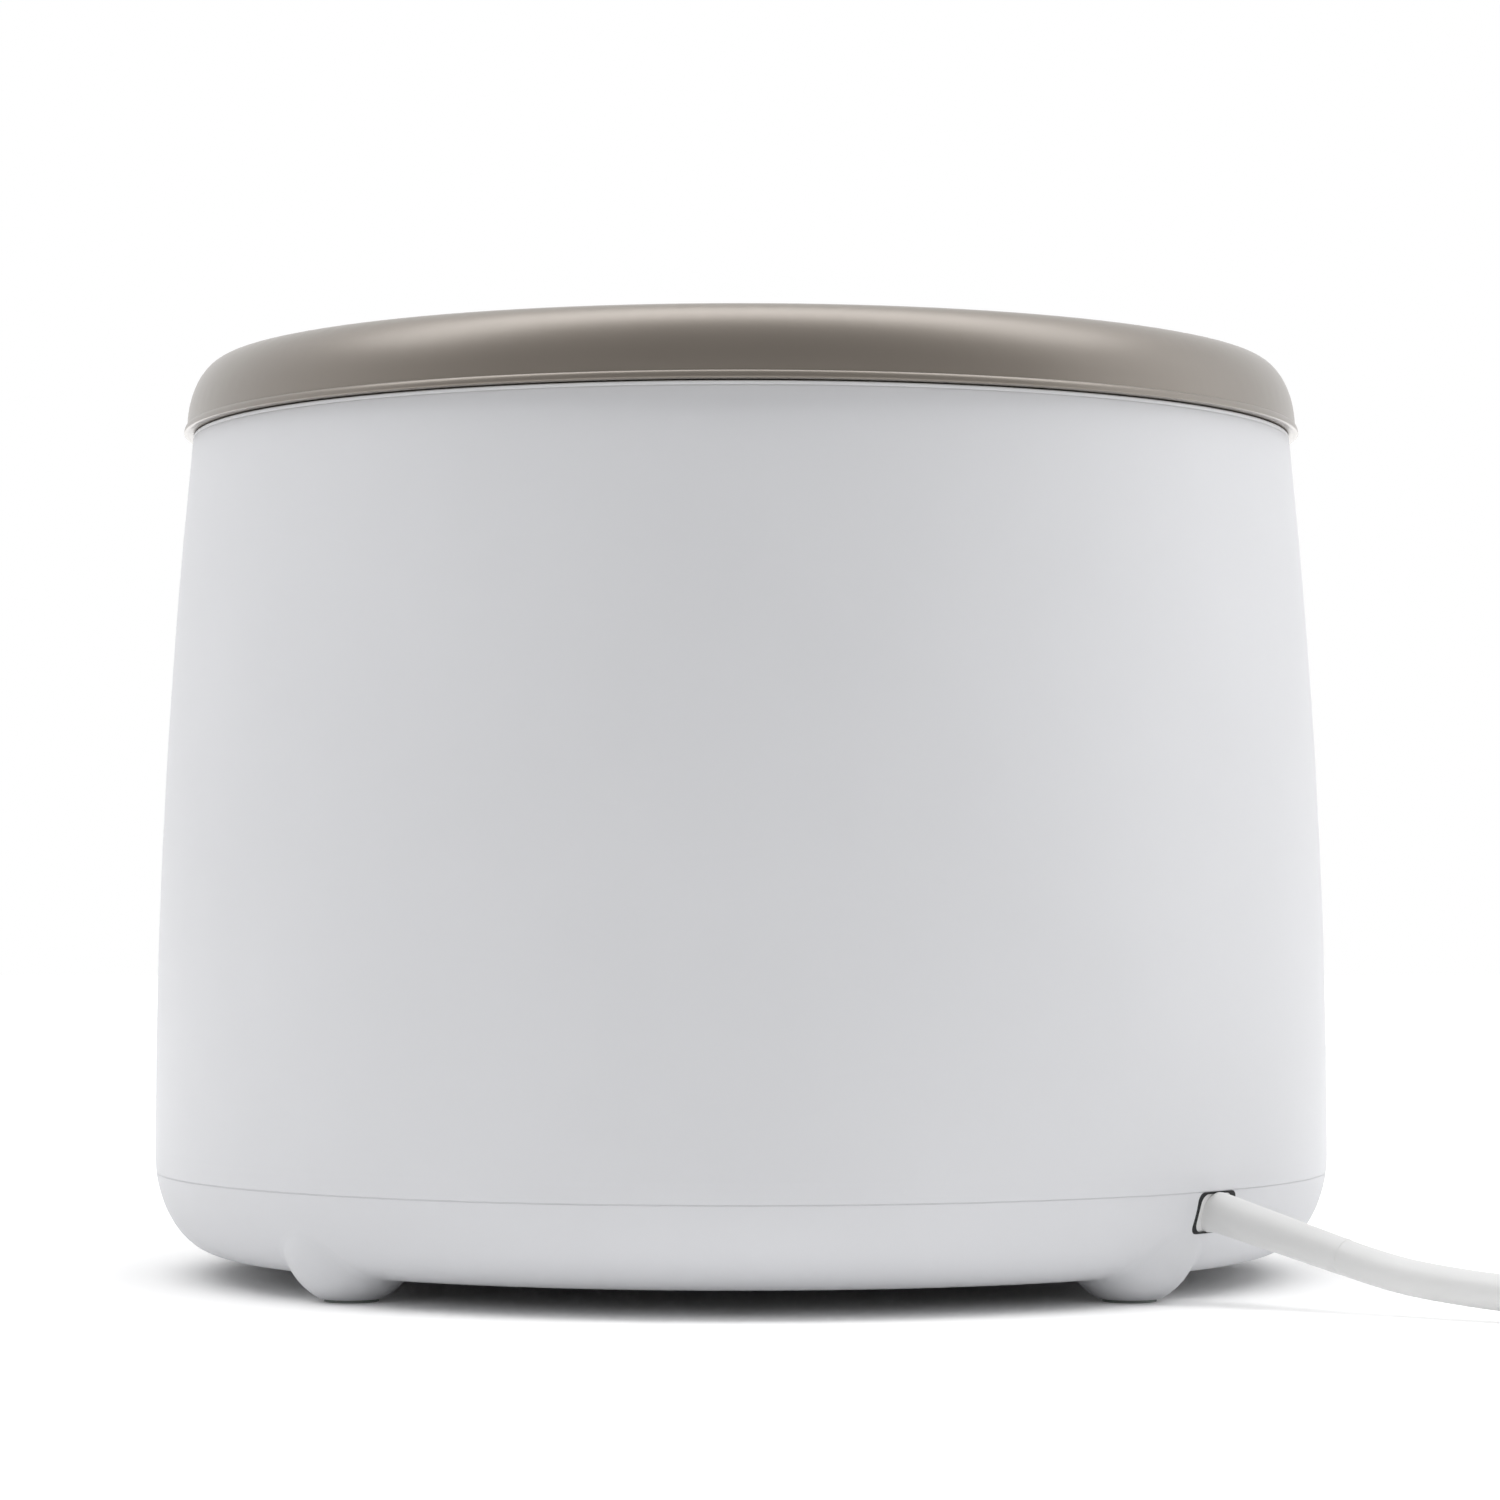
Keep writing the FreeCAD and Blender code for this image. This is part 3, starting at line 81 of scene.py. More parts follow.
# Cord, with the route of the solid model
cord_diameter = 5.6 * MM
cord_azimuth = math.radians(139.0)
body_radius = 100.0 * MM
cord_exit_height = 14.25 * MM
relief_length = 24.0 * MM
relief_droop = math.radians(14.0)
cord_first_run = 8.0 * MM
coil_mean_radius = 33.2 * MM
coil_pitch = 6.6 * MM
coil_layer = 6.5 * MM
coil_turns = 5
coil_end_heading = math.radians(270.0)
coil_tail = 24.0 * MM
coil_points_per_turn = 20
plug_axis_height = 6.85 * MM
cord_steps = 8

# Points of the cord's free stretch in millimetres: distance along its exit, place to the left, height
cord_route = [
    (140.0, 0.3, 5.3),
    (151.0, 0.9, 4.4),
    (163.0, 2.6, 4.0),
    (174.0, 5.8, 4.15),
    (184.5, 10.6, 4.15),
    (194.5, 16.8, 4.15),
]

# Bead on the lid's lower edge, its widest place above the foot of the lid's skirt
bead_width = 0.53 * MM
bead_rise = 1.15 * MM
bead_drop = 0.17 * MM
bead_inset = 0.25 * MM
bead_raise = 2.05 * MM
bead_steps = 32
ring_steps = 360

# Rounded upper edge of the housing, under the bead
rim_radius = 93.97 * MM
rim_width = 1.0 * MM
rim_rise = 0.32 * MM
rim_drop = 0.8 * MM
rim_round = 0.22 * MM
rim_steps = 6

# Band in the seam between pan and housing
seam_height = 17.6 * MM
seam_gap = 0.2 * MM
seam_radius = 99.77 * MM
seam_depth = 0.08 * MM
seam_band_width = 1.2 * MM

# Painted shadow in the cord's notch: a black frame that darkens the gap round the grommet
notch_shadow_outer = (9.9 * MM, 6.65 * MM)
notch_shadow_inner = (8.1 * MM, 6.0 * MM)
notch_shadow_corner = 1.45 * MM
notch_shadow_reach = 98.85 * MM
notch_shadow_back = 97.0 * MM
notch_shadow_slope = 0.3
corner_steps = 7

# Marks on the buttons
mark_lift = 0.12 * MM
mark_width = 0.75 * MM
mark_reach = 1.9 * MM
power_gap = math.radians(70.0)
power_bar_low = 0.5 * mark_reach
power_bar_high = 1.3 * mark_reach
stroke_steps = 8
open_ring_steps = 40

# Digits of the display, each with seven bars
digit_places = (-9.6 * MM, -4.0 * MM, 4.0 * MM, 9.6 * MM)
digit_width = 3.0 * MM
digit_height = 5.2 * MM
bar_width = 0.62 * MM
bar_gap = 0.12 * MM
digit_lean = 0.1
digit_lift = 0.04 * MM
colon_rise = 1.2 * MM
colon_reach = bar_width / 8

# Colours used more than once
white = (0.80, 0.806, 0.83)
taupe = (0.192, 0.164, 0.136)
near_black = (0.012, 0.012, 0.013)

# Studio
floor_side = 6.0
floor_colour = (0.97, 0.97, 0.97, 1.0)
shadow_radius = 70.0 * MM
white_radius = 150.0 * MM
floor_glow = 0.42
plain_radius = 450.0 * MM
plain_glow = 0.9
front_light = 0.34
back_light = 0.40
front_ends = 0.6
back_starts = -0.1
top_lamp_size = (2.4, 0.52)
top_lamp_place = (0.0, 0.10, 1.0)
top_lamp_radiance = 3.2
side_lamp_size = (0.9, 0.9)
side_lamp_place = (-1.0, 0.0, 0.25)
side_lamp_radiance = 0.55


# Shader helpers

def start_material(name):
    """New material with its node tree and its surface shader."""
    material = bpy.data.materials.new(name)
    material.use_nodes = True
    tree = material.node_tree
    return material, tree, tree.nodes["Principled BSDF"]


def set_inputs(node, values):
    """Sets inputs that are the same all over the surface."""
    for name, value in values.items():
        node.inputs[name].default_value = value


def noise(tree, size, detail, stretch=(1.0, 1.0, 1.0)):
    """Noise with spots of about the given size, drawn out along an axis where its stretch is below 1."""
    place = tree.nodes.new("ShaderNodeTexCoord")
    mapping = tree.nodes.new("ShaderNodeMapping")
    mapping.inputs["Scale"].default_value = stretch
    texture = tree.nodes.new("ShaderNodeTexNoise")
    set_inputs(texture, {"Scale": 1 / size, "Detail": detail})
    tree.links.new(place.outputs["Object"], mapping.inputs["Vector"])
    tree.links.new(mapping.outputs["Vector"], texture.inputs["Vector"])
    return texture.outputs["Fac"]


def turned_noise(tree, size, detail):
    """Noise that runs in rings round the Z axis, as on turned or spun metal."""
    place = tree.nodes.new("ShaderNodeTexCoord")
    split = tree.nodes.new("ShaderNodeSeparateXYZ")
    flat = tree.nodes.new("ShaderNodeCombineXYZ")
    length = tree.nodes.new("ShaderNodeVectorMath")
    length.operation = "LENGTH"
    ring = tree.nodes.new("ShaderNodeCombineXYZ")
    texture = tree.nodes.new("ShaderNodeTexNoise")
    set_inputs(texture, {"Scale": 1 / size, "Detail": detail})
    tree.links.new(place.outputs["Object"], split.inputs["Vector"])
    tree.links.new(split.outputs["X"], flat.inputs["X"])
    tree.links.new(split.outputs["Y"], flat.inputs["Y"])
    tree.links.new(flat.outputs["Vector"], length.inputs[0])
    tree.links.new(length.outputs["Value"], ring.inputs["X"])
    tree.links.new(split.outputs["Z"], ring.inputs["Y"])
    tree.links.new(ring.outputs["Vector"], texture.inputs["Vector"])
    return texture.outputs["Fac"]


def math_node(tree, operation, first, second):
    """Result of an operation on two sockets."""
    node = tree.nodes.new("ShaderNodeMath")
    node.operation = operation
    tree.links.new(first, node.inputs[0])
    tree.links.new(second, node.inputs[1])
    return node.outputs["Value"]


def ranged(tree, source, low, high):
    """Goes from low to high as the source goes from 0 to 1."""
    node = tree.nodes.new("ShaderNodeMapRange")
    set_inputs(node, {"To Min": low, "To Max": high})
    tree.links.new(source, node.inputs["Value"])
    return node.outputs["Result"]


def smooth_range(tree, source, start, end, amount=1.0):
    """Goes smoothly from 0 to the amount as the source goes from start to end."""
    node = tree.nodes.new("ShaderNodeMapRange")
    node.interpolation_type = "SMOOTHSTEP"
    set_inputs(node, {"From Min": start, "From Max": end, "To Max": amount})
    tree.links.new(source, node.inputs["Value"])
    return node.outputs["Result"]


def paint(tree, shader, source, first, second, start=0.0, end=1.0):
    """Surface colour that goes from first to second as the source goes from start to end."""
    node = tree.nodes.new("ShaderNodeValToRGB")
    low, high = node.color_ramp.elements
    low.position = start
    high.position = end
    low.color = (*first, 1.0)
    high.color = (*second, 1.0)
    tree.links.new(source, node.inputs["Fac"])
    tree.links.new(node.outputs["Color"], shader.inputs["Base Color"])


def scaled(colour, share):
    """Colour made darker or lighter."""
    return [value * share for value in colour]


def mottle(tree, shader, source, colour, darkest, lightest):
    """Surface colour that varies softly between two shares of a colour."""
    paint(tree, shader, source, scaled(colour, darkest), scaled(colour, lightest), start=0.3, end=0.7)


def roughen(tree, shader, source, low, high):
    """Roughness that varies with the source."""
    tree.links.new(ranged(tree, source, low, high), shader.inputs["Roughness"])


def bump(tree, shader, source, depth):
    """Relief of the given depth in metres."""
    node = tree.nodes.new("ShaderNodeBump")
    set_inputs(node, {"Strength": 1.0, "Distance": depth})
    tree.links.new(source, node.inputs["Height"])
    tree.links.new(node.outputs["Normal"], shader.inputs["Normal"])


# Materials

def moulded_plastic(name, colour, roughness, depth=0.0012 * MM):
    """Satin moulded plastic with a faint grain and slightly uneven gloss."""
    material, tree, shader = start_material(name)
    clouds = noise(tree, size=40 * MM, detail=2.0)
    mottle(tree, shader, clouds, colour, darkest=0.988, lightest=1.012)
    patches = noise(tree, size=9 * MM, detail=4.0)
    roughen(tree, shader, patches, low=roughness - 0.03, high=roughness + 0.03)
    bump(tree, shader, noise(tree, size=0.8 * MM, detail=2.0), depth)
    return material


def lacquered_plastic(name, colour, roughness):
    """Plastic with a little metal flake in it, under a clear coat."""
    material = moulded_plastic(name, colour, roughness, depth=0.0006 * MM)
    shader = material.node_tree.nodes["Principled BSDF"]
    set_inputs(shader, {"Metallic": 0.5, "Coat Weight": 1.0, "Coat Roughness": 0.34})
    return material


def milky_plastic(name, colour, roughness):
    """Natural polypropylene: pale, slightly see-through and waxy."""
    material = moulded_plastic(name, colour, roughness)
    shader = material.node_tree.nodes["Principled BSDF"]
    set_inputs(shader, {
        "Subsurface Weight": 0.35,
        "Subsurface Radius": (1.0, 0.95, 0.85),
        "Subsurface Scale": 2.5 * MM,
    })
    return material


def smoked_window(name):
    """Dark see-through cover over the display."""
    material, tree, shader = start_material(name)
    shade = noise(tree, size=12 * MM, detail=2.0)
    paint(tree, shader, shade, first=(0.20, 0.20, 0.21), second=(0.24, 0.24, 0.25))
    set_inputs(shader, {"Transmission Weight": 1.0, "IOR": 1.49})
    roughen(tree, shader, noise(tree, size=6 * MM, detail=3.0), low=0.04, high=0.09)
    return material


def soft_rubber(name, colour, roughness=0.75):
    """Matt rubber with a dusty skin."""
    material, tree, shader = start_material(name)
    dust = noise(tree, size=3 * MM, detail=5.0)
    mottle(tree, shader, dust, colour, darkest=0.88, lightest=1.06)
    patches = noise(tree, size=1.2 * MM, detail=3.0)
    roughen(tree, shader, patches, low=roughness - 0.08, high=roughness + 0.08)
    bump(tree, shader, noise(tree, size=0.35 * MM, detail=3.0), depth=0.012 * MM)
    return material


def cord_sheath(name, colour):
    """Soft vinyl sheath: satin, with a fine matt skin and a faint unevenness along it."""
    material, tree, shader = start_material(name)
    clouds = noise(tree, size=14 * MM, detail=3.0)
    mottle(tree, shader, clouds, colour, darkest=0.97, lightest=1.02)
    roughen(tree, shader, noise(tree, size=2.5 * MM, detail=4.0), low=0.36, high=0.46)
    bump(tree, shader, noise(tree, size=1.1 * MM, detail=3.0), depth=0.004 * MM)
    return material


def metal(name, colour, roughness, lines_of, size):
    """Bare or plated metal with fine lines from the given noise."""
    material, tree, shader = start_material(name)
    set_inputs(shader, {"Metallic": 1.0})
    lines = lines_of(tree, size=size, detail=4.0)
    mottle(tree, shader, lines, colour, darkest=0.9, lightest=1.05)
    roughen(tree, shader, lines, low=roughness - 0.06, high=roughness + 0.1)
    bump(tree, shader, lines, depth=0.004 * MM)
    return material


def plain_metal(name, colour, roughness):
    return metal(name, colour, roughness, noise, size=1.5 * MM)


def turned_metal(name, colour, roughness):
    return metal(name, colour, roughness, turned_noise, size=0.5 * MM)


def heater_film(name):
    """Amber film over a wound metal track."""
    material, tree, shader = start_material(name)
    track = turned_noise(tree, size=2.2 * MM, detail=0.0)
    paint(tree, shader, track, first=(0.30, 0.12, 0.025), second=(0.45, 0.30, 0.16), start=0.45, end=0.55)
    roughen(tree, shader, noise(tree, size=4 * MM, detail=3.0), low=0.22, high=0.38)
    bump(tree, shader, track, depth=0.02 * MM)
    return material


def circuit_lacquer(name):
    """Green lacquered board with faint copper runs under the lacquer."""
    material, tree, shader = start_material(name)
    runs = noise(tree, size=2.4 * MM, detail=0.0, stretch=(1.0, 0.25, 1.0))
    paint(tree, shader, runs, first=(0.012, 0.075, 0.028), second=(0.03, 0.13, 0.045), start=0.47, end=0.53)
    roughen(tree, shader, runs, low=0.28, high=0.4)
    bump(tree, shader, runs, depth=0.02 * MM)
    return material


def woven_tie(name, colour):
    """Flat hook-and-loop tie with a coarse woven face."""
    material, tree, shader = start_material(name)
    weave = tree.nodes.new("ShaderNodeTexBrick")
    set_inputs(weave, {
        "Scale": 1 / (6 * MM),
        "Color1": (*scaled(colour, 1.2), 1.0),
        "Color2": (*scaled(colour, 0.9), 1.0),
        "Mortar": (*scaled(colour, 0.5), 1.0),
    })
    place = tree.nodes.new("ShaderNodeTexCoord")
    tree.links.new(place.outputs["Object"], weave.inputs["Vector"])
    tree.links.new(weave.outputs["Color"], shader.inputs["Base Color"])
    roughen(tree, shader, noise(tree, size=0.8 * MM, detail=3.0), low=0.8, high=0.95)
    bump(tree, shader, weave.outputs["Fac"], depth=0.05 * MM)
    return material


# One material for each slot of the record, and those of the marks and of the painted shadow in the notch
materials = {
    "body_plastic": moulded_plastic("body_white", white, 0.46),
    "lid_plastic": lacquered_plastic("lid_taupe", taupe, 0.43),
    "panel_plastic": lacquered_plastic("panel_taupe", taupe, 0.42),
    "button_plastic": moulded_plastic("button_white", white, 0.3),
    "window_plastic": smoked_window("window_smoked"),
    "display_plastic": moulded_plastic("display_black", near_black, 0.5),
    "foot_rubber": soft_rubber("foot_grey", (0.33, 0.36, 0.34)),
    "screw_steel": plain_metal("screw_zinc", (0.55, 0.55, 0.56), 0.34),
    "well_aluminium": turned_metal("well_brushed", (0.78, 0.78, 0.79), 0.32),
    "seal_rubber": soft_rubber("seal_silicone", (0.62, 0.62, 0.6), 0.55),
    "heater_foil": heater_film("heater_amber"),
    "sensor_steel": plain_metal("sensor_steel", (0.6, 0.6, 0.61), 0.3),
    "fuse_case": plain_metal("fuse_tin", (0.66, 0.66, 0.66), 0.3),
    "circuit_board": circuit_lacquer("circuit_green"),
    "black_plastic": moulded_plastic("part_black", (0.02, 0.02, 0.021), 0.45),
    "capacitor_plastic": moulded_plastic("capacitor_yellow", (0.5, 0.33, 0.03), 0.4),
    "terminal_plastic": moulded_plastic("terminal_cream", (0.6, 0.58, 0.5), 0.45),
    "tub_plastic": milky_plastic("tub_milky", (0.78, 0.78, 0.76), 0.3),
    "tub_lid_plastic": milky_plastic("tub_lid_milky", (0.76, 0.77, 0.77), 0.32),
    "cord_sheath": cord_sheath("cord_pale", (0.84, 0.84, 0.835)),
    "tie_plastic": woven_tie("tie_grey", (0.09, 0.09, 0.095)),
    "pin_brass": plain_metal("pin_nickel", (0.72, 0.7, 0.66), 0.22),
    "wire_sheath": cord_sheath("wire_red", (0.42, 0.07, 0.05)),
}
# Black for the painted shadow in the notch, which darkens the gap round the grommet
notch_shadow_material = soft_rubber("notch_shadow_black", near_black)
mark_material = moulded_plastic("mark_grey", (0.13, 0.115, 0.105), 0.45)
segment_material = moulded_plastic("segment_pale", (0.62, 0.66, 0.64), 0.5)


def dress_cad_nodes():
    """Gives each solid of the model the material of its slot."""
    for entry in frame["record"]["subparts"]:
        mesh = nodes[entry["node"]].data
        mesh.materials.clear()
        mesh.materials.append(materials[entry["material_slot"]])


def add_object(name, data):
    """New object in the scene."""
    made = bpy.data.objects.new(name, data)
    bpy.context.scene.collection.objects.link(made)
    return made


def add_piece(name, mesh, material, body):
    """New piece of the object, which moves with a body."""
    piece = add_object(name, mesh)
    piece.data.materials.append(material)
    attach(piece, body)
    return piece


# Places

def polar(radius, angle, height=0.0):
    """A point by its distance from the Z axis, its angle and its height."""
    return Vector((radius * math.cos(angle), radius * math.sin(angle), height))


exit_way = polar(1, cord_azimuth)
exit_left = UP.cross(exit_way)


def along_exit(distance, sideways, height):
    """A point by its distance from the middle along the cord's exit, its place to the left and its height."""
    return exit_way * distance + exit_left * sideways + UP * height


def arc(centre, radius, start, sweep, steps):
    """Points of an arc in a plane, both ends included."""
    points = []
    for step in range(steps + 1):
        angle = start + sweep * step / steps
        points.append((centre[0] + radius * math.cos(angle), centre[1] + radius * math.sin(angle)))
    return points


# Cord

relief_way = exit_way * math.cos(relief_droop) - UP * math.sin(relief_droop)
relief_end = along_exit(body_radius, 0, cord_exit_height) + relief_way * relief_length


def free_cord_points():
    """The stretch from the strain relief to the coil."""
    points = [relief_end, relief_end + relief_way * cord_first_run]
    return points + [along_exit(*(value * MM for value in place)) for place in cord_route]


def coil_points():
    """The put-away turns: in on the lower layer, up in half a turn, out on the upper layer to the plug."""
    route = free_cord_points()
    last_run = route[-1] - route[-2]
    heading = math.atan2(last_run.y, last_run.x)
    first_angle = heading - math.pi / 2
    sweep_total = coil_end_heading - heading + 2 * math.pi * coil_turns
    layer_sweep = (sweep_total - math.pi) / 2
    rate = coil_pitch / (2 * math.pi)
    inner = coil_mean_radius - rate * layer_sweep / 2
    outer = coil_mean_radius + rate * layer_sweep / 2
    centre = route[-1] + polar(cord_diameter, heading) - polar(outer, first_angle)
    count = round(sweep_total / (2 * math.pi) * coil_points_per_turn)
    # The spline runs inside its control points, so these lie a little further out than the turns
    widen = 1 / math.cos(sweep_total / count / 2)
    points = []
    for index in range(count + 1):
        sweep = sweep_total * index / count
        turn = min(max(sweep - layer_sweep, 0.0), math.pi)
        share = turn / math.pi
        climb = coil_layer * (3 * share ** 2 - 2 * share ** 3)
        if sweep <= layer_sweep:
            radius = outer - rate * sweep
        elif sweep <= layer_sweep + math.pi:
            radius = inner - rate * (turn - turn ** 2 / math.pi)
        else:
            radius = inner + rate * (sweep - layer_sweep - math.pi)
        points.append(centre + polar(radius * widen, first_angle + sweep, climb))
    way = polar(1, coil_end_heading)
    last = points[-1] + way * coil_tail
    tail_end = Vector((last.x, last.y, plug_axis_height))
    return points + [tail_end, tail_end + way * cord_diameter]


def make_cord():
    """The whole mains cord, from the strain relief to the plug."""
    points = free_cord_points() + coil_points()
    curve = bpy.data.curves.new("mains_cord", "CURVE")
    curve.dimensions = "3D"
    spline = curve.splines.new("NURBS")
    spline.points.add(len(points) - 1)
    for target, point in zip(spline.points, points):
        target.co = (*point, 1.0)
    spline.order_u = 3
    spline.use_endpoint_u = True
    spline.resolution_u = cord_steps
    curve.bevel_depth = cord_diameter / 2
    curve.bevel_resolution = cord_steps
    curve.use_fill_caps = True
    cord = add_piece("mains_cord", curve, materials["cord_sheath"], "body")
    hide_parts("power_cord", "cord_coil")


# Marks on the front

def raised_mark(name, outlines, node_name, lift, material, body):
    """Thin raised shapes on the front of a solid, from outlines in the X-Z plane."""
    solid = nodes[node_name].data
    surface = BVHTree.FromPolygons(
        [vertex.co for vertex in solid.vertices],
        [polygon.vertices for polygon in solid.polygons],
    )
    shape = bmesh.new()
    for outline in outlines:
        places = []
        for x, z in outline:
            hit = surface.ray_cast(Vector((x, cad_low.y - 1, z)), INWARDS)[0]
            places.append(Vector((x, hit.y, z)))
        base = shape.faces.new([shape.verts.new(place + INWARDS * lift) for place in places])
        grown = bmesh.ops.extrude_face_region(shape, geom=[base])
        tops = [item for item in grown["geom"] if isinstance(item, bmesh.types.BMVert)]
        bmesh.ops.translate(shape, verts=tops, vec=-2 * lift * INWARDS)
    bmesh.ops.triangulate(shape, faces=shape.faces[:])
    bmesh.ops.recalc_face_normals(shape, faces=shape.faces[:])
    mesh = bpy.data.meshes.new(name)
    shape.to_mesh(mesh)
    shape.free()
    add_piece(name, mesh, material, body)


def stroke(start, end, width):
    """Bar with round ends between two points."""
    way = math.atan2(end[1] - start[1], end[0] - start[0])
    far_end = arc(end, width / 2, way - math.pi / 2, math.pi, stroke_steps)
    near_end = arc(start, width / 2, way + math.pi / 2, math.pi, stroke_steps)
    return far_end + near_end


def open_ring(centre, radius, width, gap):
    """Ring with a gap at its top."""
    start = math.pi / 2 + gap / 2
    sweep = 2 * math.pi - gap
    outside = arc(centre, radius + width / 2, start, sweep, open_ring_steps)
    inside = arc(centre, radius - width / 2, start + sweep, -sweep, open_ring_steps)
    return outside + inside


def cross(centre, reach, width):
    """Plus sign, from one arm's end and inner corner in four quarter turns."""
    half = width / 2
    arm = [(reach, -half), (reach, half), (half, half)]
    outline = []
    for _ in range(4):
        outline += [(centre[0] + x, centre[1] + z) for x, z in arm]
        arm = [(-z, x) for x, z in arm]
    return outline


def minus_mark(x, z):
    return [stroke((x - mark_reach, z), (x + mark_reach, z), mark_width)]


def plus_mark(x, z):
    return [cross((x, z), mark_reach, mark_width)]


def power_mark(x, z):
    return [
        open_ring((x, z), mark_reach, mark_width, power_gap),
        stroke((x, z + power_bar_low), (x, z + power_bar_high), mark_width),
    ]


def mark_buttons():
    """A plain sign in the middle of each button."""
    for sign, outlines_at in (("minus", minus_mark), ("plus", plus_mark), ("power", power_mark)):
        button = "button_" + sign
        low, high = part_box(button)
        outlines = outlines_at((low.x + high.x) / 2, (low.z + high.z) / 2)
        raised_mark("mark_" + sign, outlines, button, mark_lift, mark_material, button)


def display_bars(x):
    """The seven bars of one digit about the display's middle height, leaning a little to the right."""
    half_width = digit_width / 2
    half_height = digit_height / 2
    short = half_width - bar_width / 2 - bar_gap
    near = bar_gap + bar_width / 2
    far = half_height - near
    runs = [((-short, rise), (short, rise)) for rise in (-half_height, 0.0, half_height)]
    for side in (-half_width, half_width):
        for way in (-1, 1):
            runs.append(((side, way * near), (side, way * far)))
    leaned = []
    for run in runs:
        leaned.append([(x + across + digit_lean * rise, rise) for across, rise in run])
    return leaned


def make_display_digits():
    """Unlit bars of four digits and a colon on the display behind the window."""
    low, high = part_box("display_module")
    middle = (low.z + high.z) / 2
    runs = [run for x in digit_places for run in display_bars(x)]
    for rise in (-colon_rise, colon_rise):
        across = digit_lean * rise
        runs.append([(across, rise - colon_reach), (across, rise + colon_reach)])
    outlines = []
    for start, end in runs:
        outlines.append(stroke((start[0], start[1] + middle), (end[0], end[1] + middle), bar_width))
    raised_mark(
        "display_digits", outlines, "display_module", digit_lift, segment_material, "body",
    )


# Rings and the notch

def looped_mesh(name, rings):
    """Mesh through closed rings of points, with the last ring joined to the first."""
    count = len(rings[0])
    faces = []
    for index in range(len(rings)):
        first = index * count
        following = (index + 1) % len(rings) * count
        for step in range(count):
            beside = (step + 1) % count
            faces.append((first + step, following + step, following + beside, first + beside))
    mesh = bpy.data.meshes.new(name)
    mesh.from_pydata([place for ring in rings for place in ring], [], faces)
    return mesh


def add_turned(name, profile, body, slot):
    """Closed ring about the Z axis from its section, given as radius and height."""
    rings = []
    for turn in range(ring_steps):
        azimuth = 2 * math.pi * turn / ring_steps
        rings.append([polar(radius, azimuth, height) for radius, height in profile])
    mesh = looped_mesh(name, rings)
    mesh.shade_smooth()
    add_piece(name, mesh, materials[slot], body)


def make_lid_bead():
    """Bead along the lid's lower edge, which swells downwards and turns in sharply below."""
    low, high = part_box("lid")
    profile = []
    for step in range(bead_steps):
        angle = 2 * math.pi * step / bead_steps
        radius = high.x - bead_inset + bead_width * math.cos(angle)
        tall = bead_rise if math.sin(angle) > 0 else bead_drop
        profile.append((radius, low.z + bead_raise + tall * math.sin(angle)))
    add_turned("lid_bead", profile, "lid", "lid_plastic")


def make_housing_rim():
    """Upper edge of the housing, rounded on its outside."""
    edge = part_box("housing")[1].z
    bottom = edge - rim_drop
    top = edge + rim_rise
    inner = rim_radius - rim_width
    corner = arc((rim_radius - rim_round, top - rim_round), rim_round, 0, math.pi / 2, rim_steps)
    profile = [(inner, bottom), (rim_radius, bottom), *corner, (inner, top)]
    add_turned("housing_rim", profile, "body", "body_plastic")


def make_seam_band():
    """Pale band just inside the seam between pan and housing."""
    low = seam_height - seam_gap / 2
    high = seam_height + seam_gap / 2
    outer = seam_radius - seam_depth
    inner = outer - seam_band_width
    profile = [(inner, low), (outer, low), (outer, high), (inner, high)]
    add_turned("seam_band", profile, "body", "body_plastic")


def rounded_outline(width, tall, corner):
    """Rectangle with rounded corners about the origin."""
    x = width / 2 - corner
    z = tall / 2 - corner
    outline = []
    for turn, centre in enumerate(((x, z), (-x, z), (-x, -z), (x, -z))):
        outline += arc(centre, corner, turn * math.pi / 2, math.pi / 2, corner_steps)
    return outline


def make_notch_shadow():
    """Black frame round the cord's grommet, set just inside the pan's surface: a painted shadow that darkens
    the gap.
    """
    outer = rounded_outline(*notch_shadow_outer, notch_shadow_corner)
    inner = rounded_outline(*notch_shadow_inner, notch_shadow_corner)
    rings = []
    for outline, reach in (
        (outer, notch_shadow_back),
        (inner, notch_shadow_back),
        (inner, notch_shadow_reach),
        (outer, notch_shadow_reach),
    ):
        ring = []
        for aside, height in outline:
            ring.append(along_exit(reach + notch_shadow_slope * height, aside, cord_exit_height + height))
        rings.append(ring)
    add_piece("notch_shadow", looped_mesh("notch_shadow", rings), notch_shadow_material, "body")


# Studio

def seen_rays(tree, mirrored=None):
    """One for camera rays, for rays through something and for mirrored rays, which may be weighted."""
    path = tree.nodes.new("ShaderNodeLightPath")
    glossy = path.outputs["Is Glossy Ray"]
    if mirrored:
        glossy = math_node(tree, "MULTIPLY", glossy, mirrored)
    direct = math_node(tree, "MAXIMUM", path.outputs["Is Camera Ray"], path.outputs["Is Transmission Ray"])
    return math_node(tree, "MAXIMUM", direct, glossy)


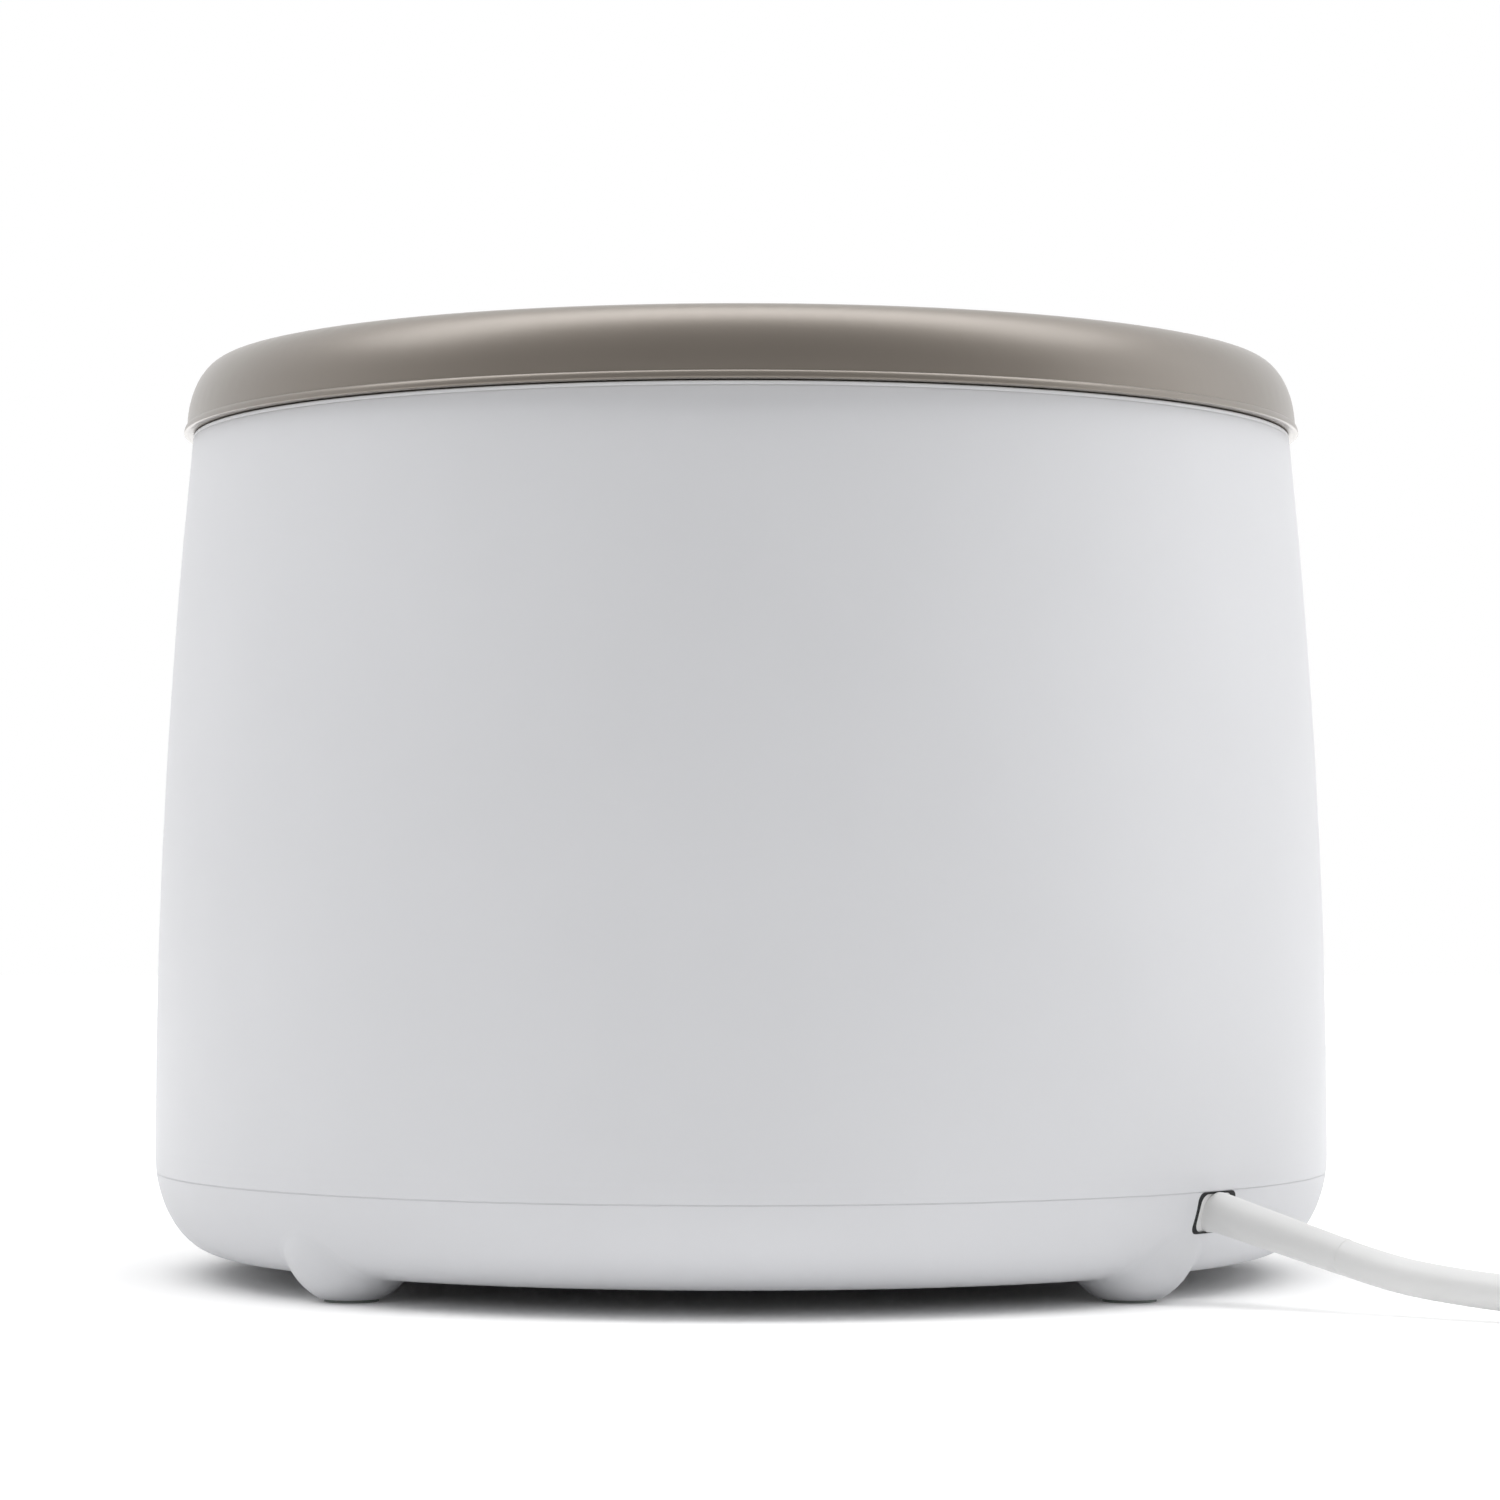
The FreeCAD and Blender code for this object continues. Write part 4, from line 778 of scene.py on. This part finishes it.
def make_world():
    """White to look at. In reflections it is white on the far side and dim towards the camera."""
    world = bpy.data.worlds.new("studio")
    bpy.context.scene.world = world
    world.use_nodes = True
    tree = world.node_tree
    tree.nodes.clear()
    place = tree.nodes.new("ShaderNodeTexCoord")
    split = tree.nodes.new("ShaderNodeSeparateXYZ")
    tree.links.new(place.outputs["Generated"], split.inputs["Vector"])
    far_side = smooth_range(tree, split.outputs["Y"], front_ends, back_starts)
    lighting = tree.nodes.new("ShaderNodeBackground")
    backdrop = tree.nodes.new("ShaderNodeBackground")
    for background in (lighting, backdrop):
        set_inputs(background, {"Color": (1, 1, 1, 1), "Strength": 1.0})
    tree.links.new(ranged(tree, far_side, front_light, back_light), lighting.inputs["Strength"])
    mix = tree.nodes.new("ShaderNodeMixShader")
    output = tree.nodes.new("ShaderNodeOutputWorld")
    tree.links.new(seen_rays(tree, far_side), mix.inputs["Fac"])
    tree.links.new(lighting.outputs["Background"], mix.inputs[1])
    tree.links.new(backdrop.outputs["Background"], mix.inputs[2])
    tree.links.new(mix.outputs["Shader"], output.inputs["Surface"])


def make_lamp(name, place, size, radiance):
    """Soft lamp that faces the object."""
    data = bpy.data.lights.new(name, "AREA")
    data.shape = "RECTANGLE"
    data.size, data.size_y = size
    data.energy = radiance * math.pi * size[0] * size[1]
    lamp = add_object(name, data)
    lamp.location = place
    target = Vector((0, 0, cad_high.z / 2))
    lamp.rotation_euler = (target - lamp.location).to_track_quat("-Z", "Y").to_euler()


def white_floor(name):
    """Matt white that keeps the shadow near the object and glows to plain white further out."""
    material = bpy.data.materials.new(name)
    material.use_nodes = True
    tree = material.node_tree
    tree.nodes.clear()
    place = tree.nodes.new("ShaderNodeTexCoord")
    length = tree.nodes.new("ShaderNodeVectorMath")
    length.operation = "LENGTH"
    tree.links.new(place.outputs["Object"], length.inputs[0])
    distance = length.outputs["Value"]
    near_glow = smooth_range(tree, distance, shadow_radius, white_radius, floor_glow)
    far_glow = smooth_range(tree, distance, white_radius, plain_radius, plain_glow)
    strength = math_node(tree, "ADD", near_glow, far_glow)
    glow = tree.nodes.new("ShaderNodeEmission")
    tree.links.new(math_node(tree, "MULTIPLY", strength, seen_rays(tree)), glow.inputs["Strength"])
    matt = tree.nodes.new("ShaderNodeBsdfDiffuse")
    set_inputs(matt, {"Color": floor_colour})
    both = tree.nodes.new("ShaderNodeAddShader")
    output = tree.nodes.new("ShaderNodeOutputMaterial")
    tree.links.new(matt.outputs["BSDF"], both.inputs[0])
    tree.links.new(glow.outputs["Emission"], both.inputs[1])
    tree.links.new(both.outputs["Shader"], output.inputs["Surface"])
    return material


def make_floor():
    """Flat floor under the object."""
    half = floor_side / 2
    corners = [(-half, -half, 0), (half, -half, 0), (half, half, 0), (-half, half, 0)]
    mesh = bpy.data.meshes.new("floor")
    mesh.from_pydata(corners, [], [(0, 1, 2, 3)])
    mesh.materials.append(white_floor("floor_white"))
    add_object("floor", mesh)


def make_camera():
    """Camera at the photograph's viewing angle."""
    data = bpy.data.cameras.new("camera")
    data.sensor_width = sensor_side
    data.lens = sensor_side * focal_pixels / picture_side
    data.clip_start = camera_near
    data.clip_end = camera_far
    camera = add_object("camera", data)
    camera.location = (camera_aside, camera_distance, camera_height)
    camera.rotation_euler = (math.pi / 2 + camera_tilt, 0, math.pi)
    bpy.context.scene.camera = camera


dress_cad_nodes()
make_cord()
mark_buttons()
make_display_digits()
make_lid_bead()
make_housing_rim()
make_seam_band()
make_notch_shadow()
make_world()
make_lamp("overhead", top_lamp_place, top_lamp_size, top_lamp_radiance)
make_lamp("right_side", side_lamp_place, side_lamp_size, side_lamp_radiance)
make_floor()
make_camera()
bpy.context.scene.view_settings.view_transform = "Standard"

bpy.context.view_layer.update()
